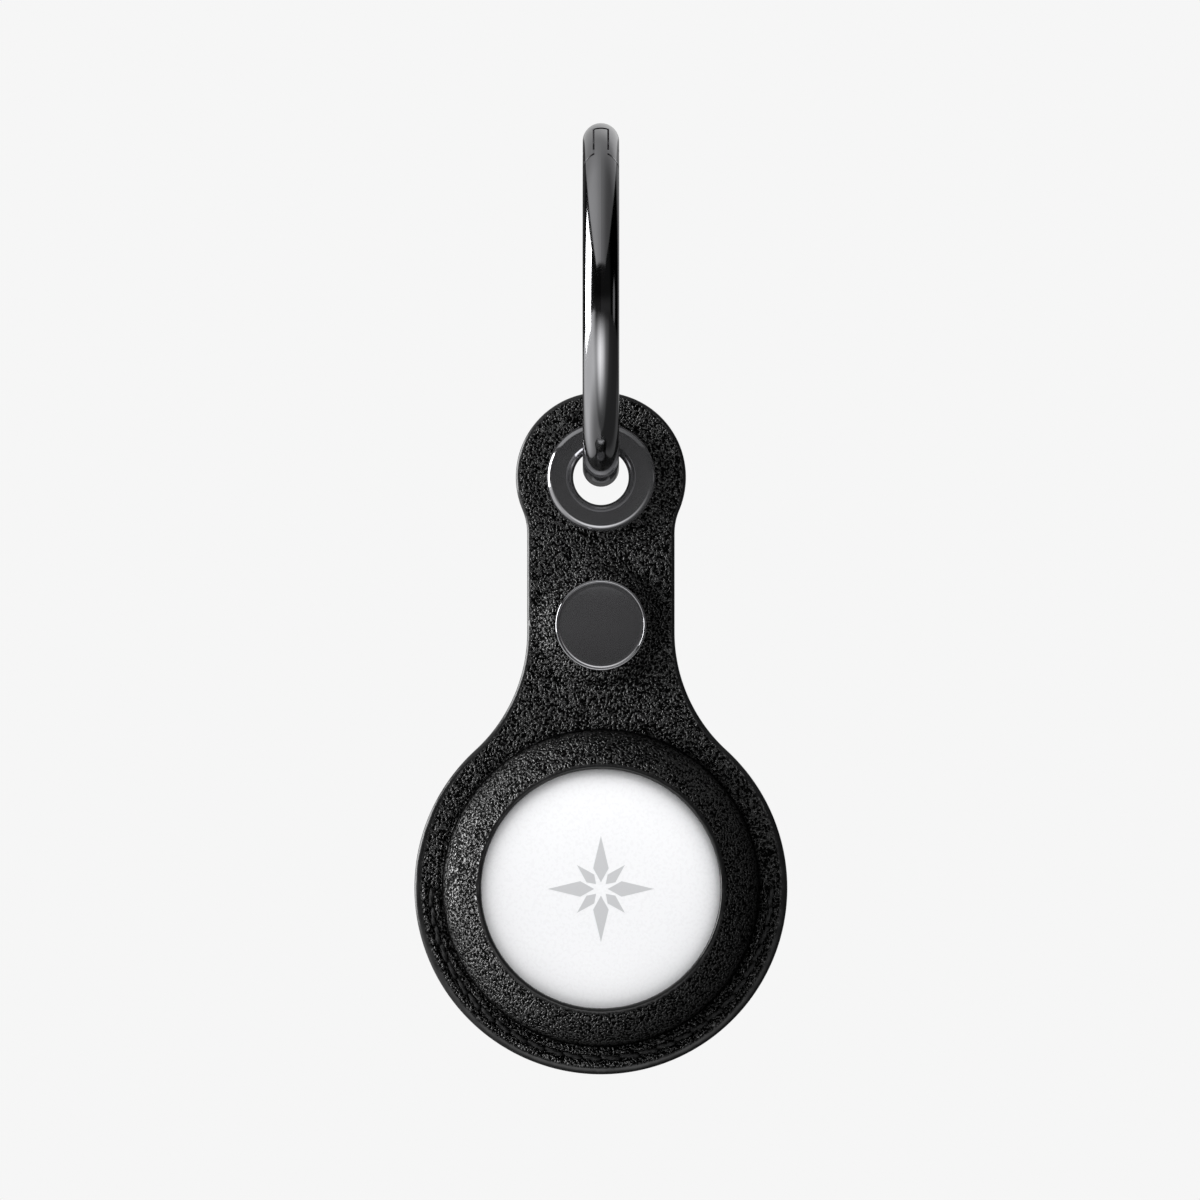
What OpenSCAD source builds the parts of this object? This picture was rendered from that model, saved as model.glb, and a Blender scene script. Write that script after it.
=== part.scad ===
// Tracker tag holder: a leather pouch on a strap, hung from a gated ring.
// The origin is the centre of the ring, +Z is up and the front faces -Y.
// Heights h run from the seam between the two panels towards the front.

/* [Ring] */
// Outer diameter of the ring
ring_od = 40; // [36:1:48]
// Diameter of the ring's wire
wire_d = 4; // [3.6:0.1:4.2]
// Thickness of the hinge tongue
tongue_w = 1.4; // [1.2:0.02:1.6]
// Radius of the knuckle round the hinge pin
knuckle_r = 3.6; // [3.2:0.1:3.8]
// Radius of the slot's end in the gate, about the pin
slot_end_r = 4; // [3.9:0.05:4.2]
// Diameter of the hinge pin
gate_pin_d = 1.1; // [0.8:0.1:1.3]
// Diameter of the gate's spring plunger
plunger_d = 1.4; // [1.2:0.1:1.5]

/* [Leather] */
// Thickness of the leather
leather_t = 1.1; // [0.9:0.1:1.4]
// Thickness of the lining
lining_t = 0.3; // [0.2:0.05:0.4]
// Radius of the head round the eyelet
head_r = 9.35; // [8.6:0.05:10]
// Half the width of the strap
strap_half_w = 8.1; // [7.9:0.05:8.4]
// Hollow fillet between head and strap
head_fillet_r = 6.6; // [5:0.1:9]
// Hollow fillet between strap and pouch
pouch_fillet_r = 17.6; // [12:0.1:22]
// Width of the flat rim of the pouch, outside the formed dome
rim_w = 3; // [2.6:0.1:4]
// Distance from the eyelet's centre to the pouch's centre
pouch_drop = 45.15; // [43:0.1:52]
// Radius of the window in front of the tag
window_r = 13.1; // [11:0.1:14]
// How far the lining's edges stay back from the leather's
lining_back = 0.4; // [0.2:0.1:0.8]

/* [Seam] */
// Distance from the row of stitches to the pouch's edge
stitch_edge = 1.8; // [1.4:0.1:2]
// Number of stitches, round the lower half
stitch_n = 28; // [20:1:30]
// Diameter of the thread
thread_d = 0.5; // [0.4:0.05:0.6]

/* [Eyelet] */
// Radius of the eyelet's hole
eyelet_hole_r = 3.05; // [2.8:0.05:3.3]
// Outer radius of the eyelet's flange
eyelet_flange_r = 6; // [5.4:0.1:6.4]
// Height of the eyelet's flange
eyelet_flange_h = 0.85; // [0.6:0.05:1]
// Wall of the eyelet's barrel
eyelet_wall = 0.4; // [0.3:0.05:0.5]

/* [Snap] */
// Distance from the eyelet's centre down to the snap's centre
snap_drop = 16.25; // [15.5:0.05:17]
// Radius of the snap's cap
cap_r = 5; // [4.6:0.1:5.2]
// Height of the cap above the leather
cap_h = 0.95; // [0.7:0.05:1.2]
// How far each panel is pressed out round the snap
seat_h = 1; // [0.9:0.05:1.3]
// Radius of the stud's neck
stud_r = 1.7; // [1.5:0.05:1.8]

/* [Tag] */
// Radius of the tag
tag_r = 15.95; // [15.5:0.05:16]
// Height of the tag's white front above its widest line
tag_front_h = 5.4; // [5:0.1:5.8]
// Depth of the tag's back below its widest line
tag_back_h = 2.6; // [2.4:0.1:3]
// Height of the tag's widest line above the seam
tag_waist = 1.2; // [1:0.1:1.6]
// Wall of the tag's shell
tag_wall = 1.1; // [0.9:0.1:1.2]
// Radius of the battery cover
cover_r = 12.6; // [12.3:0.1:13]
// Thickness of the battery cover's steel
cover_t = 0.4; // [0.3:0.05:0.45]
// Radius of the coin cell
cell_r = 10; // [9.6:0.1:10]
// Thickness of the coin cell
cell_h = 3.2; // [2.8:0.1:3.2]

/* [Hidden] */
$fn = 64;

// How far cuts run past what they cut
overrun = 1;

// The ring and its hinge. Angles along the ring are measured from its top, towards the front.
wire_r = wire_d / 2;
ring_r = ring_od / 2 - wire_r;
pin_angle = 25;
latch_angle = -60;
latch_overlap_angle = 15;
slot_gap = 0.2;
slot_end_gap = 0.5;
knuckle_gap = 0.3;
latch_gap = 0.08;
latch_step = 0.9;
pin_fit = 0.04;
pin_recess = 0.12;
pin_y = -ring_r * sin(pin_angle);
pin_z = ring_r * cos(pin_angle);
latch_y = -ring_r * sin(latch_angle);
latch_z = ring_r * cos(latch_angle);
latch_reach = norm([latch_y - pin_y, latch_z - pin_z]);
latch_tilt = atan2(latch_z - pin_z, latch_y - pin_y);
gate_pin_r = gate_pin_d / 2;
pin_half_w = sqrt(wire_r * wire_r - gate_pin_r * gate_pin_r) - pin_recess;
tongue_end_r = slot_end_r - slot_end_gap;
hinge_box_l = ring_r / 2;

// The spring plunger slides along the tangent at the pin, below the pin's centre.
plunger_r = plunger_d / 2;
plunger_drop = 0.7;
plunger_fit = 0.05;
cam_drop = 1;
cam_r = 3.4;
cam_gap = 0.03;
cam_top = 0.3;
plunger_l = 1.5;
plunger_stem_r = 0.3;
plunger_stem_l = 0.7;
bore_end = 7.3;
spring_wire_d = 0.2;
spring_r = 0.5;
spring_turns = 4;
spring_gap = 0.02;
ring_steps_per_turn = 8;
wire_sides = 6;

// The holder hangs with the top of the eyelet's hole on the ring's wire.
hang_gap = 0.1;
hole_z = -(ring_r - wire_r) + hang_gap - eyelet_hole_r;
snap_z = hole_z - snap_drop;
pouch_z = hole_z - pouch_drop;
panel_t = lining_t + leather_t;
tag_gap = 0.15;
pouch_r = tag_r + tag_gap + panel_t + rim_w;
stitch_r = pouch_r - stitch_edge;
barrel_r = eyelet_hole_r + eyelet_wall;
barrel_fit = 0.08;
flange_fit = 0.05;
flange_edge_share = 0.4;
flange_crown_share = 0.5;
throat_share = 0.24;
roll_h = 0.85;
roll_r = 4.5;
washer_t = 0.45;
washer_fit = 0.05;

// The thread and its holes
thread_r = thread_d / 2;
thread_lean = 0.24;
thread_dip = 0.9;
thread_fit = 0.05;
thread_sides = 6;
stitch_start = 180;
stitch_span = 180;

// The snap, from its axis outwards
seat_room = 0.25;
seat_r = cap_r + seat_room;
seat_slope_w = 2.1;
seat_foot_r = seat_r + seat_slope_w;
cap_fit = 0.05;
cap_bevel = 0.35;
cap_post_r = 1.5;
post_fit = 0.05;
socket_flange_r = 4.2;
socket_flange_t = 0.25;
socket_r = 2.2;
socket_wall = 0.4;
socket_groove_r = 2.45;
stud_flange_r = 3.6;
stud_flange_t = 0.25;
stud_wall = 0.35;
stud_bulge = 0.2;
stud_bulge_h = 0.4;
stud_clear = 0.15;
snap_wire_r = 0.18;
snap_wire_gap = 0.05;
snap_slot_w = 0.6;
rivet_head_r = 4;
rivet_head_h = 0.5;
rivet_r = 1;
rivet_clear = 0.2;

// The tag's round section: a superellipse that is blunt at its waist
tag_power = 2.6;
section_steps = 20;
cover_fit = 0.1;
cover_rim_h = 0.2;
cell_h0 = -0.5;
tray_fit = 0.15;
tray_wall = 0.75;
tray_floor_gap = 0.5;
tray_floor_t = 0.8;
board_h0 = 1.2;
board_t = 0.6;
board_in = 0.2;
board_edge = 1.75;
board_r = tag_r - board_edge;
flange_t = 0.3;
tray_flange_edge = 1.35;
tray_flange_r = tag_r - tray_flange_edge;
seal_w = 0.4;
seal_gap = 0.02;
magnet_r = 4.2;
magnet_h = 1;
coil_r = 4.5;
coil_w = 0.6;
coil_gap = 0.05;
coil_lift = 0.2;
contact_n = 3;
contact_r = 5.5;
contact_l = 3;
contact_w = 1.2;
contact_t = 0.2;
chip_depth = 2;
// Angle of each chip on the board, and its width as a share of its depth
chip_shares = [[15, 1.3], [62, 0.9], [105, 1.1], [160, 1.4], [215, 0.8], [262, 1.2], [318, 1]];
chip_h = 0.7;

// Turns a shape drawn upwards so that its height points to the front
module to_front() {
    rotate([90, 0, 0]) children();
}

// A flat layer between two heights, from an outline in x and z
module layer(h0, h1) {
    to_front() translate([0, 0, h0]) linear_extrude(h1 - h0) children();
}

// A round solid about the front-to-back line through [0, z], from points [radius, height]
module round_solid(z, points) {
    translate([0, 0, z]) to_front() rotate_extrude() polygon(points);
}

// A cylinder about the same line
module round_bar(z, r, h0, h1) {
    translate([0, 0, z]) to_front() translate([0, 0, h0]) cylinder(r = r, h = h1 - h0);
}

// A ring about the same line
module round_ring(z, r0, r1, h0, h1) {
    difference() {
        round_bar(z, r1, h0, h1);
        round_bar(z, r0, h0 - overrun, h1 + overrun);
    }
}

// A cylinder across the ring at the hinge pin, in the frame of the pin
module across(r, w) {
    rotate([0, 90, 0]) cylinder(r = r, h = w, center = true);
}

// Places children at the hinge pin, with y along the given tilt and z outwards
module at_pin(tilt) {
    translate([0, pin_y, pin_z]) rotate([tilt, 0, 0]) children();
}

// The ring's wire between two angles
module wire_arc(from_angle, to_angle) {
    rotate([0, 90, 0]) rotate([0, 0, 180 + from_angle])
        rotate_extrude(angle = to_angle - from_angle, $fn = 128) translate([ring_r, 0]) circle(r = wire_r);
}

// The middle slab of the ring, as wide as the tongue or its slot
module middle_slab(w) {
    cube([w, ring_od + overrun, ring_od + overrun], center = true);
}

// The space round the latch, in the frame of the pin
module latch_box() {
    translate([0, latch_reach, 0]) cube([ring_od, ring_r, ring_r], center = true);
}

// Where the gate's end lies at the latch: a stepped end, concentric with the pin
module latch_zone(gap) {
    across(latch_reach - latch_step + gap, ring_od);
    intersection() {
        across(latch_reach + latch_step + gap, ring_od);
        translate([0, 0, gap - ring_od]) cube([ring_od, ring_od * 3, ring_od * 2], center = true);
    }
}

// The space on the gate's side of the pin (side 1) or on the body's side (side -1)
module hinge_box(side) {
    translate([0, side * hinge_box_l / 2, 0]) cube([ring_od, hinge_box_l, ring_r], center = true);
}

// The tongue from the side: round about the pin outside, with a cam for the plunger inside
module tongue_side() {
    intersection() {
        across(tongue_end_r, ring_od * 2);
        union() {
            translate([0, 0, cam_top + ring_r]) cube([ring_od * 2, ring_od, ring_r * 2], center = true);
            translate([0, 0, -cam_drop]) across(cam_r, ring_od * 2);
        }
    }
}

module ring_body() {
    color("#2b2b2d") difference() {
        wire_arc(0, 360 + latch_angle + latch_overlap_angle);
        difference() {
            at_pin(pin_angle) {
                across(knuckle_r + knuckle_gap, ring_od);
                hinge_box(1);
            }
            middle_slab(tongue_w);
        }
        at_pin(pin_angle) difference() {
            hinge_box(1);
            tongue_side();
        }
        at_pin(latch_tilt) intersection() {
            latch_box();
            latch_zone(latch_gap);
        }
        at_pin(0) across(gate_pin_r + pin_fit, ring_od);
    }
}

module ring_gate() {
    color("#323234") difference() {
        wire_arc(latch_angle - latch_overlap_angle, pin_angle * 2);
        at_pin(latch_tilt) difference() {
            latch_box();
            latch_zone(0);
        }
        at_pin(pin_angle) difference() {
            hinge_box(-1);
            across(knuckle_r, ring_od * 2);
        }
        intersection() {
            middle_slab(tongue_w + slot_gap * 2);
            at_pin(0) across(slot_end_r, ring_od);
        }
        at_pin(0) across(gate_pin_r, ring_od);
        plunger_bar(plunger_r + plunger_fit, cam_r - overrun, bore_end);
    }
}

module gate_hinge_pin() {
    color("#3a3a3c") at_pin(0) across(gate_pin_r, pin_half_w * 2);
}

// A bar along the plunger's line, between two distances from the pin
module plunger_bar(r, from, to) {
    at_pin(pin_angle) translate([0, from, -plunger_drop]) rotate([-90, 0, 0]) cylinder(r = r, h = to - from);
}

module gate_plunger() {
    face = cam_r + cam_gap;
    color("#8a8a8c") {
        plunger_bar(plunger_r, face, face + plunger_l);
        plunger_bar(plunger_stem_r, face, face + plunger_l + plunger_stem_l);
    }
}

// The helix of a spring as one closed tube: rings of points, each square to the winding
module gate_spring() {
    start = cam_r + cam_gap + plunger_l + spring_gap + spring_wire_d / 2;
    end = bore_end - spring_gap - spring_wire_d / 2;
    rings = spring_turns * ring_steps_per_turn;
    sides = [for (j = [0:wire_sides - 1]) j * 360 / wire_sides];
    points = [
        for (i = [0:rings])
            let (turn = i * 360 / ring_steps_per_turn)
            for (a = sides)
                let (r = spring_r + spring_wire_d / 2 * cos(a))
                [r * cos(turn), start + (end - start) * i / rings + spring_wire_d / 2 * sin(a), r * sin(turn)]
    ];
    walls = [
        for (i = [0:rings - 1])
            for (j = [0:wire_sides - 1])
                let (k = (j + 1) % wire_sides, a = i * wire_sides, b = a + wire_sides)
                each [[a + j, b + j, b + k], [a + j, b + k, a + k]]
    ];
    first = [for (j = [1:wire_sides - 2]) [0, j, j + 1]];
    last = [for (j = [1:wire_sides - 2]) let (b = rings * wire_sides) [b, b + j + 1, b + j]];
    color("#b0b0b4") at_pin(pin_angle) translate([0, 0, -plunger_drop])
        polyhedron(points, concat(walls, first, last));
}

// The eyelet: front flange, barrel, and the roll that closes over the washer at the back
module eyelet() {
    base = panel_t + flange_fit;
    edge = base + eyelet_flange_h * flange_edge_share;
    crown = base + eyelet_flange_h;
    span = eyelet_flange_r - eyelet_hole_r;
    back = -panel_t - washer_fit;
    color("#3c3c3f") round_solid(hole_z, [
        [eyelet_hole_r, panel_t - lining_t],
        [eyelet_hole_r, -panel_t],
        [eyelet_hole_r + span * throat_share / 2, back - roll_h + eyelet_wall / 2],
        [eyelet_hole_r + span * throat_share, back - roll_h],
        [roll_r - eyelet_wall / 2, back - roll_h],
        [roll_r, back - roll_h + eyelet_wall / 2],
        [roll_r, back - washer_t],
        [barrel_r, back - washer_t],
        [barrel_r, base],
        [eyelet_flange_r, base],
        [eyelet_flange_r, edge],
        [eyelet_hole_r + span * flange_crown_share, crown],
        [eyelet_hole_r + span * throat_share, crown],
        [eyelet_hole_r + span * throat_share / 2, crown - eyelet_wall / 2]
    ]);
}

module eyelet_washer() {
    back = -panel_t - washer_fit;
    color("#55555a") round_ring(hole_z, barrel_r, eyelet_flange_r, back - washer_t, back);
}

// A wedge that a hollow fillet is cut from, with its circle centre at [x, z]
module fillet_web(x, z, round_z, r) {
    difference() {
        polygon([[0, z], [x, z], [0, round_z]]);
        translate([x, z]) circle(r = r, $fn = 128);
    }
}

// Outline of the holder, drawn in by an inset
module holder_outline(inset) {
    head_fillet_x = strap_half_w + head_fillet_r;
    head_fillet_z = hole_z - sqrt(pow(head_r + head_fillet_r, 2) - pow(head_fillet_x, 2));
    pouch_fillet_x = strap_half_w + pouch_fillet_r;
    pouch_fillet_z = pouch_z + sqrt(pow(pouch_r + pouch_fillet_r, 2) - pow(pouch_fillet_x, 2));
    translate([0, hole_z]) circle(r = head_r - inset, $fn = 128);
    translate([0, pouch_z]) circle(r = pouch_r - inset, $fn = 128);
    translate([inset - strap_half_w, pouch_z]) square([(strap_half_w - inset) * 2, pouch_drop]);
    for (side = [0, 1]) mirror([side, 0]) {
        fillet_web(head_fillet_x, head_fillet_z, hole_z, head_fillet_r + inset);
        fillet_web(pouch_fillet_x, pouch_fillet_z, pouch_z, pouch_fillet_r + inset);
    }
}

// Height of the superellipse at a share of its radius
function bulge_share(share) = pow(1 - pow(share, tag_power), 1 / tag_power);

// The tag's body grown by an offset: the tag itself, its pocket or the leather's outside
module lens(grow) {
    r = tag_r + grow;
    shares = [for (i = [1:section_steps]) sin(i * 90 / section_steps)];
    front = [for (s = shares) [r * s, tag_waist + (tag_front_h + grow) * bulge_share(s)]];
    back = [for (s = shares) [r * s, tag_waist - (tag_back_h + grow) * bulge_share(s)]];
    top = [0, tag_waist + tag_front_h + grow];
    bottom = [0, tag_waist - tag_back_h - grow];
    backwards = [for (i = [section_steps - 2:-1:0]) back[i]];
    round_solid(pouch_z, concat([top], front, backwards, [bottom]));
}

// The part of the lens in front of a height, or behind it for a side of -1
module lens_side(grow, h, side) {
    intersection() {
        lens(grow);
        if (side > 0) round_bar(pouch_z, pouch_r + overrun, h, h + pouch_r);
        else round_bar(pouch_z, pouch_r + overrun, -h - pouch_r, -h);
    }
}

// The pressed seat round the snap, as a layer between two heights
module seat_layer(h0, h1) {
    round_solid(snap_z, [
        [0, h0 + seat_h], [seat_r, h0 + seat_h], [seat_foot_r, h0],
        [seat_foot_r, h1], [seat_r, h1 + seat_h], [0, h1 + seat_h]
    ]);
}

// One sheet of a panel on the front (side 1) or the back (side -1)
module sheet_layer(h0, h1, inset, side) {
    difference() {
        union() {
            if (side > 0) {
                flat_sheet(h0, h1, inset);
                seat_layer(h0, h1);
            } else mirror([0, 1, 0]) {
                flat_sheet(h0, h1, inset);
                seat_layer(h0, h1);
            }
            lens_side(tag_gap + h1, h0, side);
        }
        lens(tag_gap + h0);
        round_bar(hole_z, barrel_r + barrel_fit, -panel_t - overrun, panel_t + overrun);
        stitch_holes();
    }
}

module flat_sheet(h0, h1, inset) {
    difference() {
        layer(h0, h1) holder_outline(inset);
        round_bar(snap_z, seat_foot_r, h0 - overrun, h1 + overrun);
    }
}

// Angle of a stitch hole, counted round the bottom from the left
function stitch_angle(i) = stitch_start + stitch_span * i / stitch_n;

// Places children at a stitch hole, drawn upwards towards the front
module at_stitch(angle) {
    translate([0, 0, pouch_z]) to_front() rotate([0, 0, angle]) translate([stitch_r, 0, 0]) children();
}

module stitch_holes() {
    for (i = [0:stitch_n]) at_stitch(stitch_angle(i))
        translate([0, 0, -panel_t - overrun]) cylinder(r = thread_r + thread_lean + thread_fit, h = (panel_t + overrun) * 2, $fn = 24);
}

module front_panel() {
    color("#1c1c1d") difference() {
        sheet_layer(lining_t, panel_t, 0, 1);
        round_bar(pouch_z, window_r, 0, pouch_r);
        round_bar(snap_z, cap_post_r + post_fit, 0, pouch_r);
    }
}

module front_lining() {
    color("#2a2a2c") difference() {
        sheet_layer(0, lining_t, lining_back, 1);
        round_bar(pouch_z, window_r + lining_back, 0, pouch_r);
        round_bar(snap_z, cap_post_r + post_fit, 0, pouch_r);
    }
}

module back_panel() {
    color("#1c1c1d") difference() {
        sheet_layer(lining_t, panel_t, 0, -1);
        round_bar(snap_z, rivet_r + post_fit, -pouch_r, 0);
    }
}

module back_lining() {
    color("#2a2a2c") difference() {
        sheet_layer(0, lining_t, lining_back, -1);
        round_bar(snap_z, rivet_r + post_fit, -pouch_r, 0);
    }
}

// The path of the thread: over each stitch and down into each hole. Points are [angle, height].
function thread_path() = [
    for (i = [0:stitch_n])
        let (a = stitch_angle(i), lean = thread_lean / stitch_r * 180 / PI)
        each [
            if (i > 0) [a - lean, panel_t + thread_r],
            [a, panel_t - thread_dip],
            if (i < stitch_n) [a + lean, panel_t + thread_r]
        ]
];

function on_seam(p) = [stitch_r * cos(p[0]), stitch_r * sin(p[0]), p[1]];

// One tube along the path, with a ring of sides at each point
module thread_row() {
    path = [for (p = thread_path()) on_seam(p)];
    n = len(path);
    points = [
        for (i = [0:n - 1])
            let (along = path[min(i + 1, n - 1)] - path[max(i - 1, 0)])
            let (out = [path[i][0], path[i][1], 0] / stitch_r)
            let (up = cross(along / norm(along), out))
            for (j = [0:thread_sides - 1])
                let (a = j * 360 / thread_sides)
                path[i] + thread_r * (cos(a) * out + sin(a) * up)
    ];
    walls = [
        for (i = [0:n - 2])
            for (j = [0:thread_sides - 1])
                let (k = (j + 1) % thread_sides, a = i * thread_sides, b = a + thread_sides)
                each [[a + j, a + k, b + k], [a + j, b + k, b + j]]
    ];
    first = [for (j = [1:thread_sides - 2]) [0, j + 1, j]];
    last = [for (j = [1:thread_sides - 2]) let (b = (n - 1) * thread_sides) [b, b + j, b + j + 1]];
    translate([0, 0, pouch_z]) to_front() polyhedron(points, concat(walls, first, last));
}

module needle_thread() {
    color("#101011") thread_row();
}

module bobbin_thread() {
    color("#101011") mirror([0, 1, 0]) thread_row();
}

module snap_cap() {
    base = panel_t + seat_h + cap_fit;
    top = base + cap_h;
    back = seat_h - socket_flange_t;
    color("#333335") round_solid(snap_z, [
        [0, back], [cap_post_r, back], [cap_post_r, base],
        [cap_r, base], [cap_r, top - cap_bevel], [cap_r - cap_bevel, top], [0, top]
    ]);
}

module snap_socket() {
    front = seat_h - cap_fit;
    mouth = -seat_h + stud_flange_t + stud_clear;
    groove = snap_wire_r * 2 + snap_wire_gap;
    color("#77777b") round_solid(snap_z, [
        [cap_post_r, front], [socket_flange_r, front], [socket_flange_r, front - socket_flange_t],
        [socket_r + socket_wall * 2, front - socket_flange_t], [socket_r + socket_wall * 2, mouth],
        [socket_r, mouth], [socket_r, -groove / 2], [socket_groove_r, -groove / 2],
        [socket_groove_r, groove / 2], [socket_r, groove / 2], [socket_r, front - socket_flange_t],
        [cap_post_r, front - socket_flange_t]
    ]);
}

// The split ring in the socket's groove that grips the stud
module snap_spring() {
    r = stud_r + stud_bulge + snap_wire_gap + snap_wire_r;
    color("#b0b0b4") difference() {
        translate([0, 0, snap_z]) to_front() rotate_extrude() translate([r, 0]) circle(r = snap_wire_r, $fn = 24);
        translate([0, 0, snap_z + r]) cube([snap_slot_w, r, r], center = true);
    }
}

module snap_stud() {
    base = -seat_h;
    top = seat_h - socket_flange_t - cap_fit - stud_clear;
    color("#77777b") round_solid(snap_z, [
        [rivet_r, base], [stud_flange_r, base], [stud_flange_r, base + stud_flange_t],
        [stud_r, base + stud_flange_t], [stud_r, top - stud_bulge_h * 2],
        [stud_r + stud_bulge, top - stud_bulge_h], [stud_r, top], [stud_r - stud_wall, top],
        [stud_r - stud_wall, base + stud_flange_t], [rivet_r, base + stud_flange_t]
    ]);
}

module snap_post() {
    base = -seat_h - panel_t;
    tip = seat_h - socket_flange_t - rivet_clear - stud_clear - cap_fit;
    color("#3c3c3f") round_solid(snap_z, [
        [0, base - rivet_head_h], [rivet_head_r - rivet_head_h, base - rivet_head_h],
        [rivet_head_r, base - rivet_head_h / 2], [rivet_head_r, base],
        [rivet_r, base], [rivet_r, tip], [0, tip]
    ]);
}

module tag_shell() {
    color("#f2f3f5") difference() {
        lens(0);
        lens(-tag_wall);
        round_bar(pouch_z, cover_r + cover_fit, -pouch_r, board_h0 - flange_t);
    }
}

module tag_cover() {
    color("#c8c9cc") difference() {
        intersection() {
            lens(0);
            round_bar(pouch_z, cover_r, -pouch_r, cover_rim_h);
        }
        intersection() {
            lens(-cover_t);
            round_bar(pouch_z, cover_r - cover_t, -pouch_r, pouch_r);
        }
    }
}

module cover_seal() {
    color("#202022") round_ring(pouch_z, cover_r - seal_w, cover_r, cover_rim_h + seal_gap, board_h0 - flange_t);
}

module tag_battery() {
    color("#d0d1d4") round_bar(pouch_z, cell_r, cell_h0, cell_h0 + cell_h);
}

module battery_contacts() {
    h0 = cell_h0 + cell_h;
    color("#c9a24a") for (i = [0:contact_n - 1])
        translate([0, 0, pouch_z]) to_front() rotate([0, 0, i * 360 / contact_n]) translate([contact_r, 0, h0]) {
            translate([0, -contact_w / 2, tray_floor_gap - contact_t]) cube([contact_l, contact_w, contact_t]);
            translate([0, -contact_w / 2, 0]) cube([contact_t, contact_w, tray_floor_gap]);
        }
}

module tag_carrier() {
    floor_h = cell_h0 + cell_h + tray_floor_gap;
    wall_r = cell_r + tray_fit;
    color("#e4e4e2") {
        round_ring(pouch_z, wall_r, wall_r + tray_wall, board_h0 - flange_t, floor_h);
        round_bar(pouch_z, wall_r + tray_wall, floor_h, floor_h + tray_floor_t);
        round_ring(pouch_z, wall_r, tray_flange_r, board_h0 - flange_t, board_h0);
    }
}

module tag_board() {
    inner = cell_r + tray_fit + tray_wall + board_in;
    color("#2d5a3a") round_ring(pouch_z, inner, board_r, board_h0, board_h0 + board_t);
}

module tag_chips() {
    mid = (cell_r + tray_fit + tray_wall + board_in + board_r) / 2;
    color("#26262a") for (chip = chip_shares)
        let (w = chip[1] * chip_depth)
        translate([0, 0, pouch_z]) to_front() rotate([0, 0, chip[0]])
            translate([mid - chip_depth / 2, -w / 2, board_h0 + board_t]) cube([chip_depth, w, chip_h]);
}

module speaker_magnet() {
    h0 = cell_h0 + cell_h + tray_floor_gap + tray_floor_t;
    color("#9a9aa0") round_bar(pouch_z, magnet_r, h0, h0 + magnet_h);
}

module speaker_coil() {
    outer = coil_r + coil_w;
    inner_r = tag_r - tag_wall;
    top = tag_waist + (tag_front_h - tag_wall) * bulge_share(outer / inner_r) - coil_gap;
    h0 = cell_h0 + cell_h + tray_floor_gap + tray_floor_t + coil_lift;
    color("#b5682e") round_ring(pouch_z, coil_r, outer, h0, top);
}

ring_body();
ring_gate();
gate_hinge_pin();
gate_plunger();
gate_spring();
eyelet();
eyelet_washer();
front_panel();
front_lining();
back_panel();
back_lining();
needle_thread();
bobbin_thread();
snap_cap();
snap_socket();
snap_spring();
snap_stud();
snap_post();
tag_shell();
tag_cover();
cover_seal();
tag_battery();
battery_contacts();
tag_carrier();
tag_board();
tag_chips();
speaker_magnet();
speaker_coil();
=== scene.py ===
import math
import bpy
import bmesh
import numpy as np
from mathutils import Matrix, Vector
from mathutils.geometry import delaunay_2d_cdt


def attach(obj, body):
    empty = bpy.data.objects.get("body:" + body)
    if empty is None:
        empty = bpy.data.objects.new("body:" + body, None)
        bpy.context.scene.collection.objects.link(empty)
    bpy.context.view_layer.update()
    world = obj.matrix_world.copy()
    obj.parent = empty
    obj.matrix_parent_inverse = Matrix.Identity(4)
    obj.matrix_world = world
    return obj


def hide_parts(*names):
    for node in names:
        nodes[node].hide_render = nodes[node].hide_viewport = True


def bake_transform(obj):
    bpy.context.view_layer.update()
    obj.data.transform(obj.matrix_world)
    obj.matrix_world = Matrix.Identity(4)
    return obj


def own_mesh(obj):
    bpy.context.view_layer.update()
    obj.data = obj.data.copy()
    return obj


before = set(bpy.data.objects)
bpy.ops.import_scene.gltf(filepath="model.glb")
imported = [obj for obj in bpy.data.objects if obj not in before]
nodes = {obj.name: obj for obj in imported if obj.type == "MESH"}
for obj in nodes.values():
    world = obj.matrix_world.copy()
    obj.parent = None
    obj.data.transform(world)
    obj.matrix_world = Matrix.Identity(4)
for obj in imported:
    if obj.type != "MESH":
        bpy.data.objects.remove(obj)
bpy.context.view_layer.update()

# Sizes are in mm, as in the part's source, and heights h run from the seam towards the front (-Y).
MM = 0.001
HOLE_Z, SNAP_Z, POUCH_Z = -18.95, -35.2, -64.1
HEAD_R, STRAP_W, HEAD_FILLET, POUCH_FILLET, POUCH_R = 9.35, 8.1, 6.6, 17.6, 20.5
LINING_T, PANEL_T, TAG_GAP, WINDOW_R, LINING_BACK = 0.3, 1.4, 0.15, 13.1, 0.4
TAG_R, TAG_WAIST, TAG_FRONT, TAG_BACK, TAG_POWER = 15.95, 1.2, 5.4, 2.6, 2.6
STITCH_R, STITCH_N, THREAD_R = 18.7, 28, 0.25
EYELET_HOLE_R, BARREL_HOLE_R, CAP_POST_R, RIVET_HOLE_R = 3.05, 3.53, 1.55, 1.05
SEAT_H, SEAT_R, SEAT_FOOT_R = 1.0, 5.15, 7.5
EYELET_DIP, DIP_R, DIP_FOOT_R = 0.28, 6.2, 8.9
EDGE_ROUND, EDGE_DROP, WINDOW_ROUND, BAND_W, BAND_W_HEAD = 0.7, 0.42, 0.5, 0.75, 0.4

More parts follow.
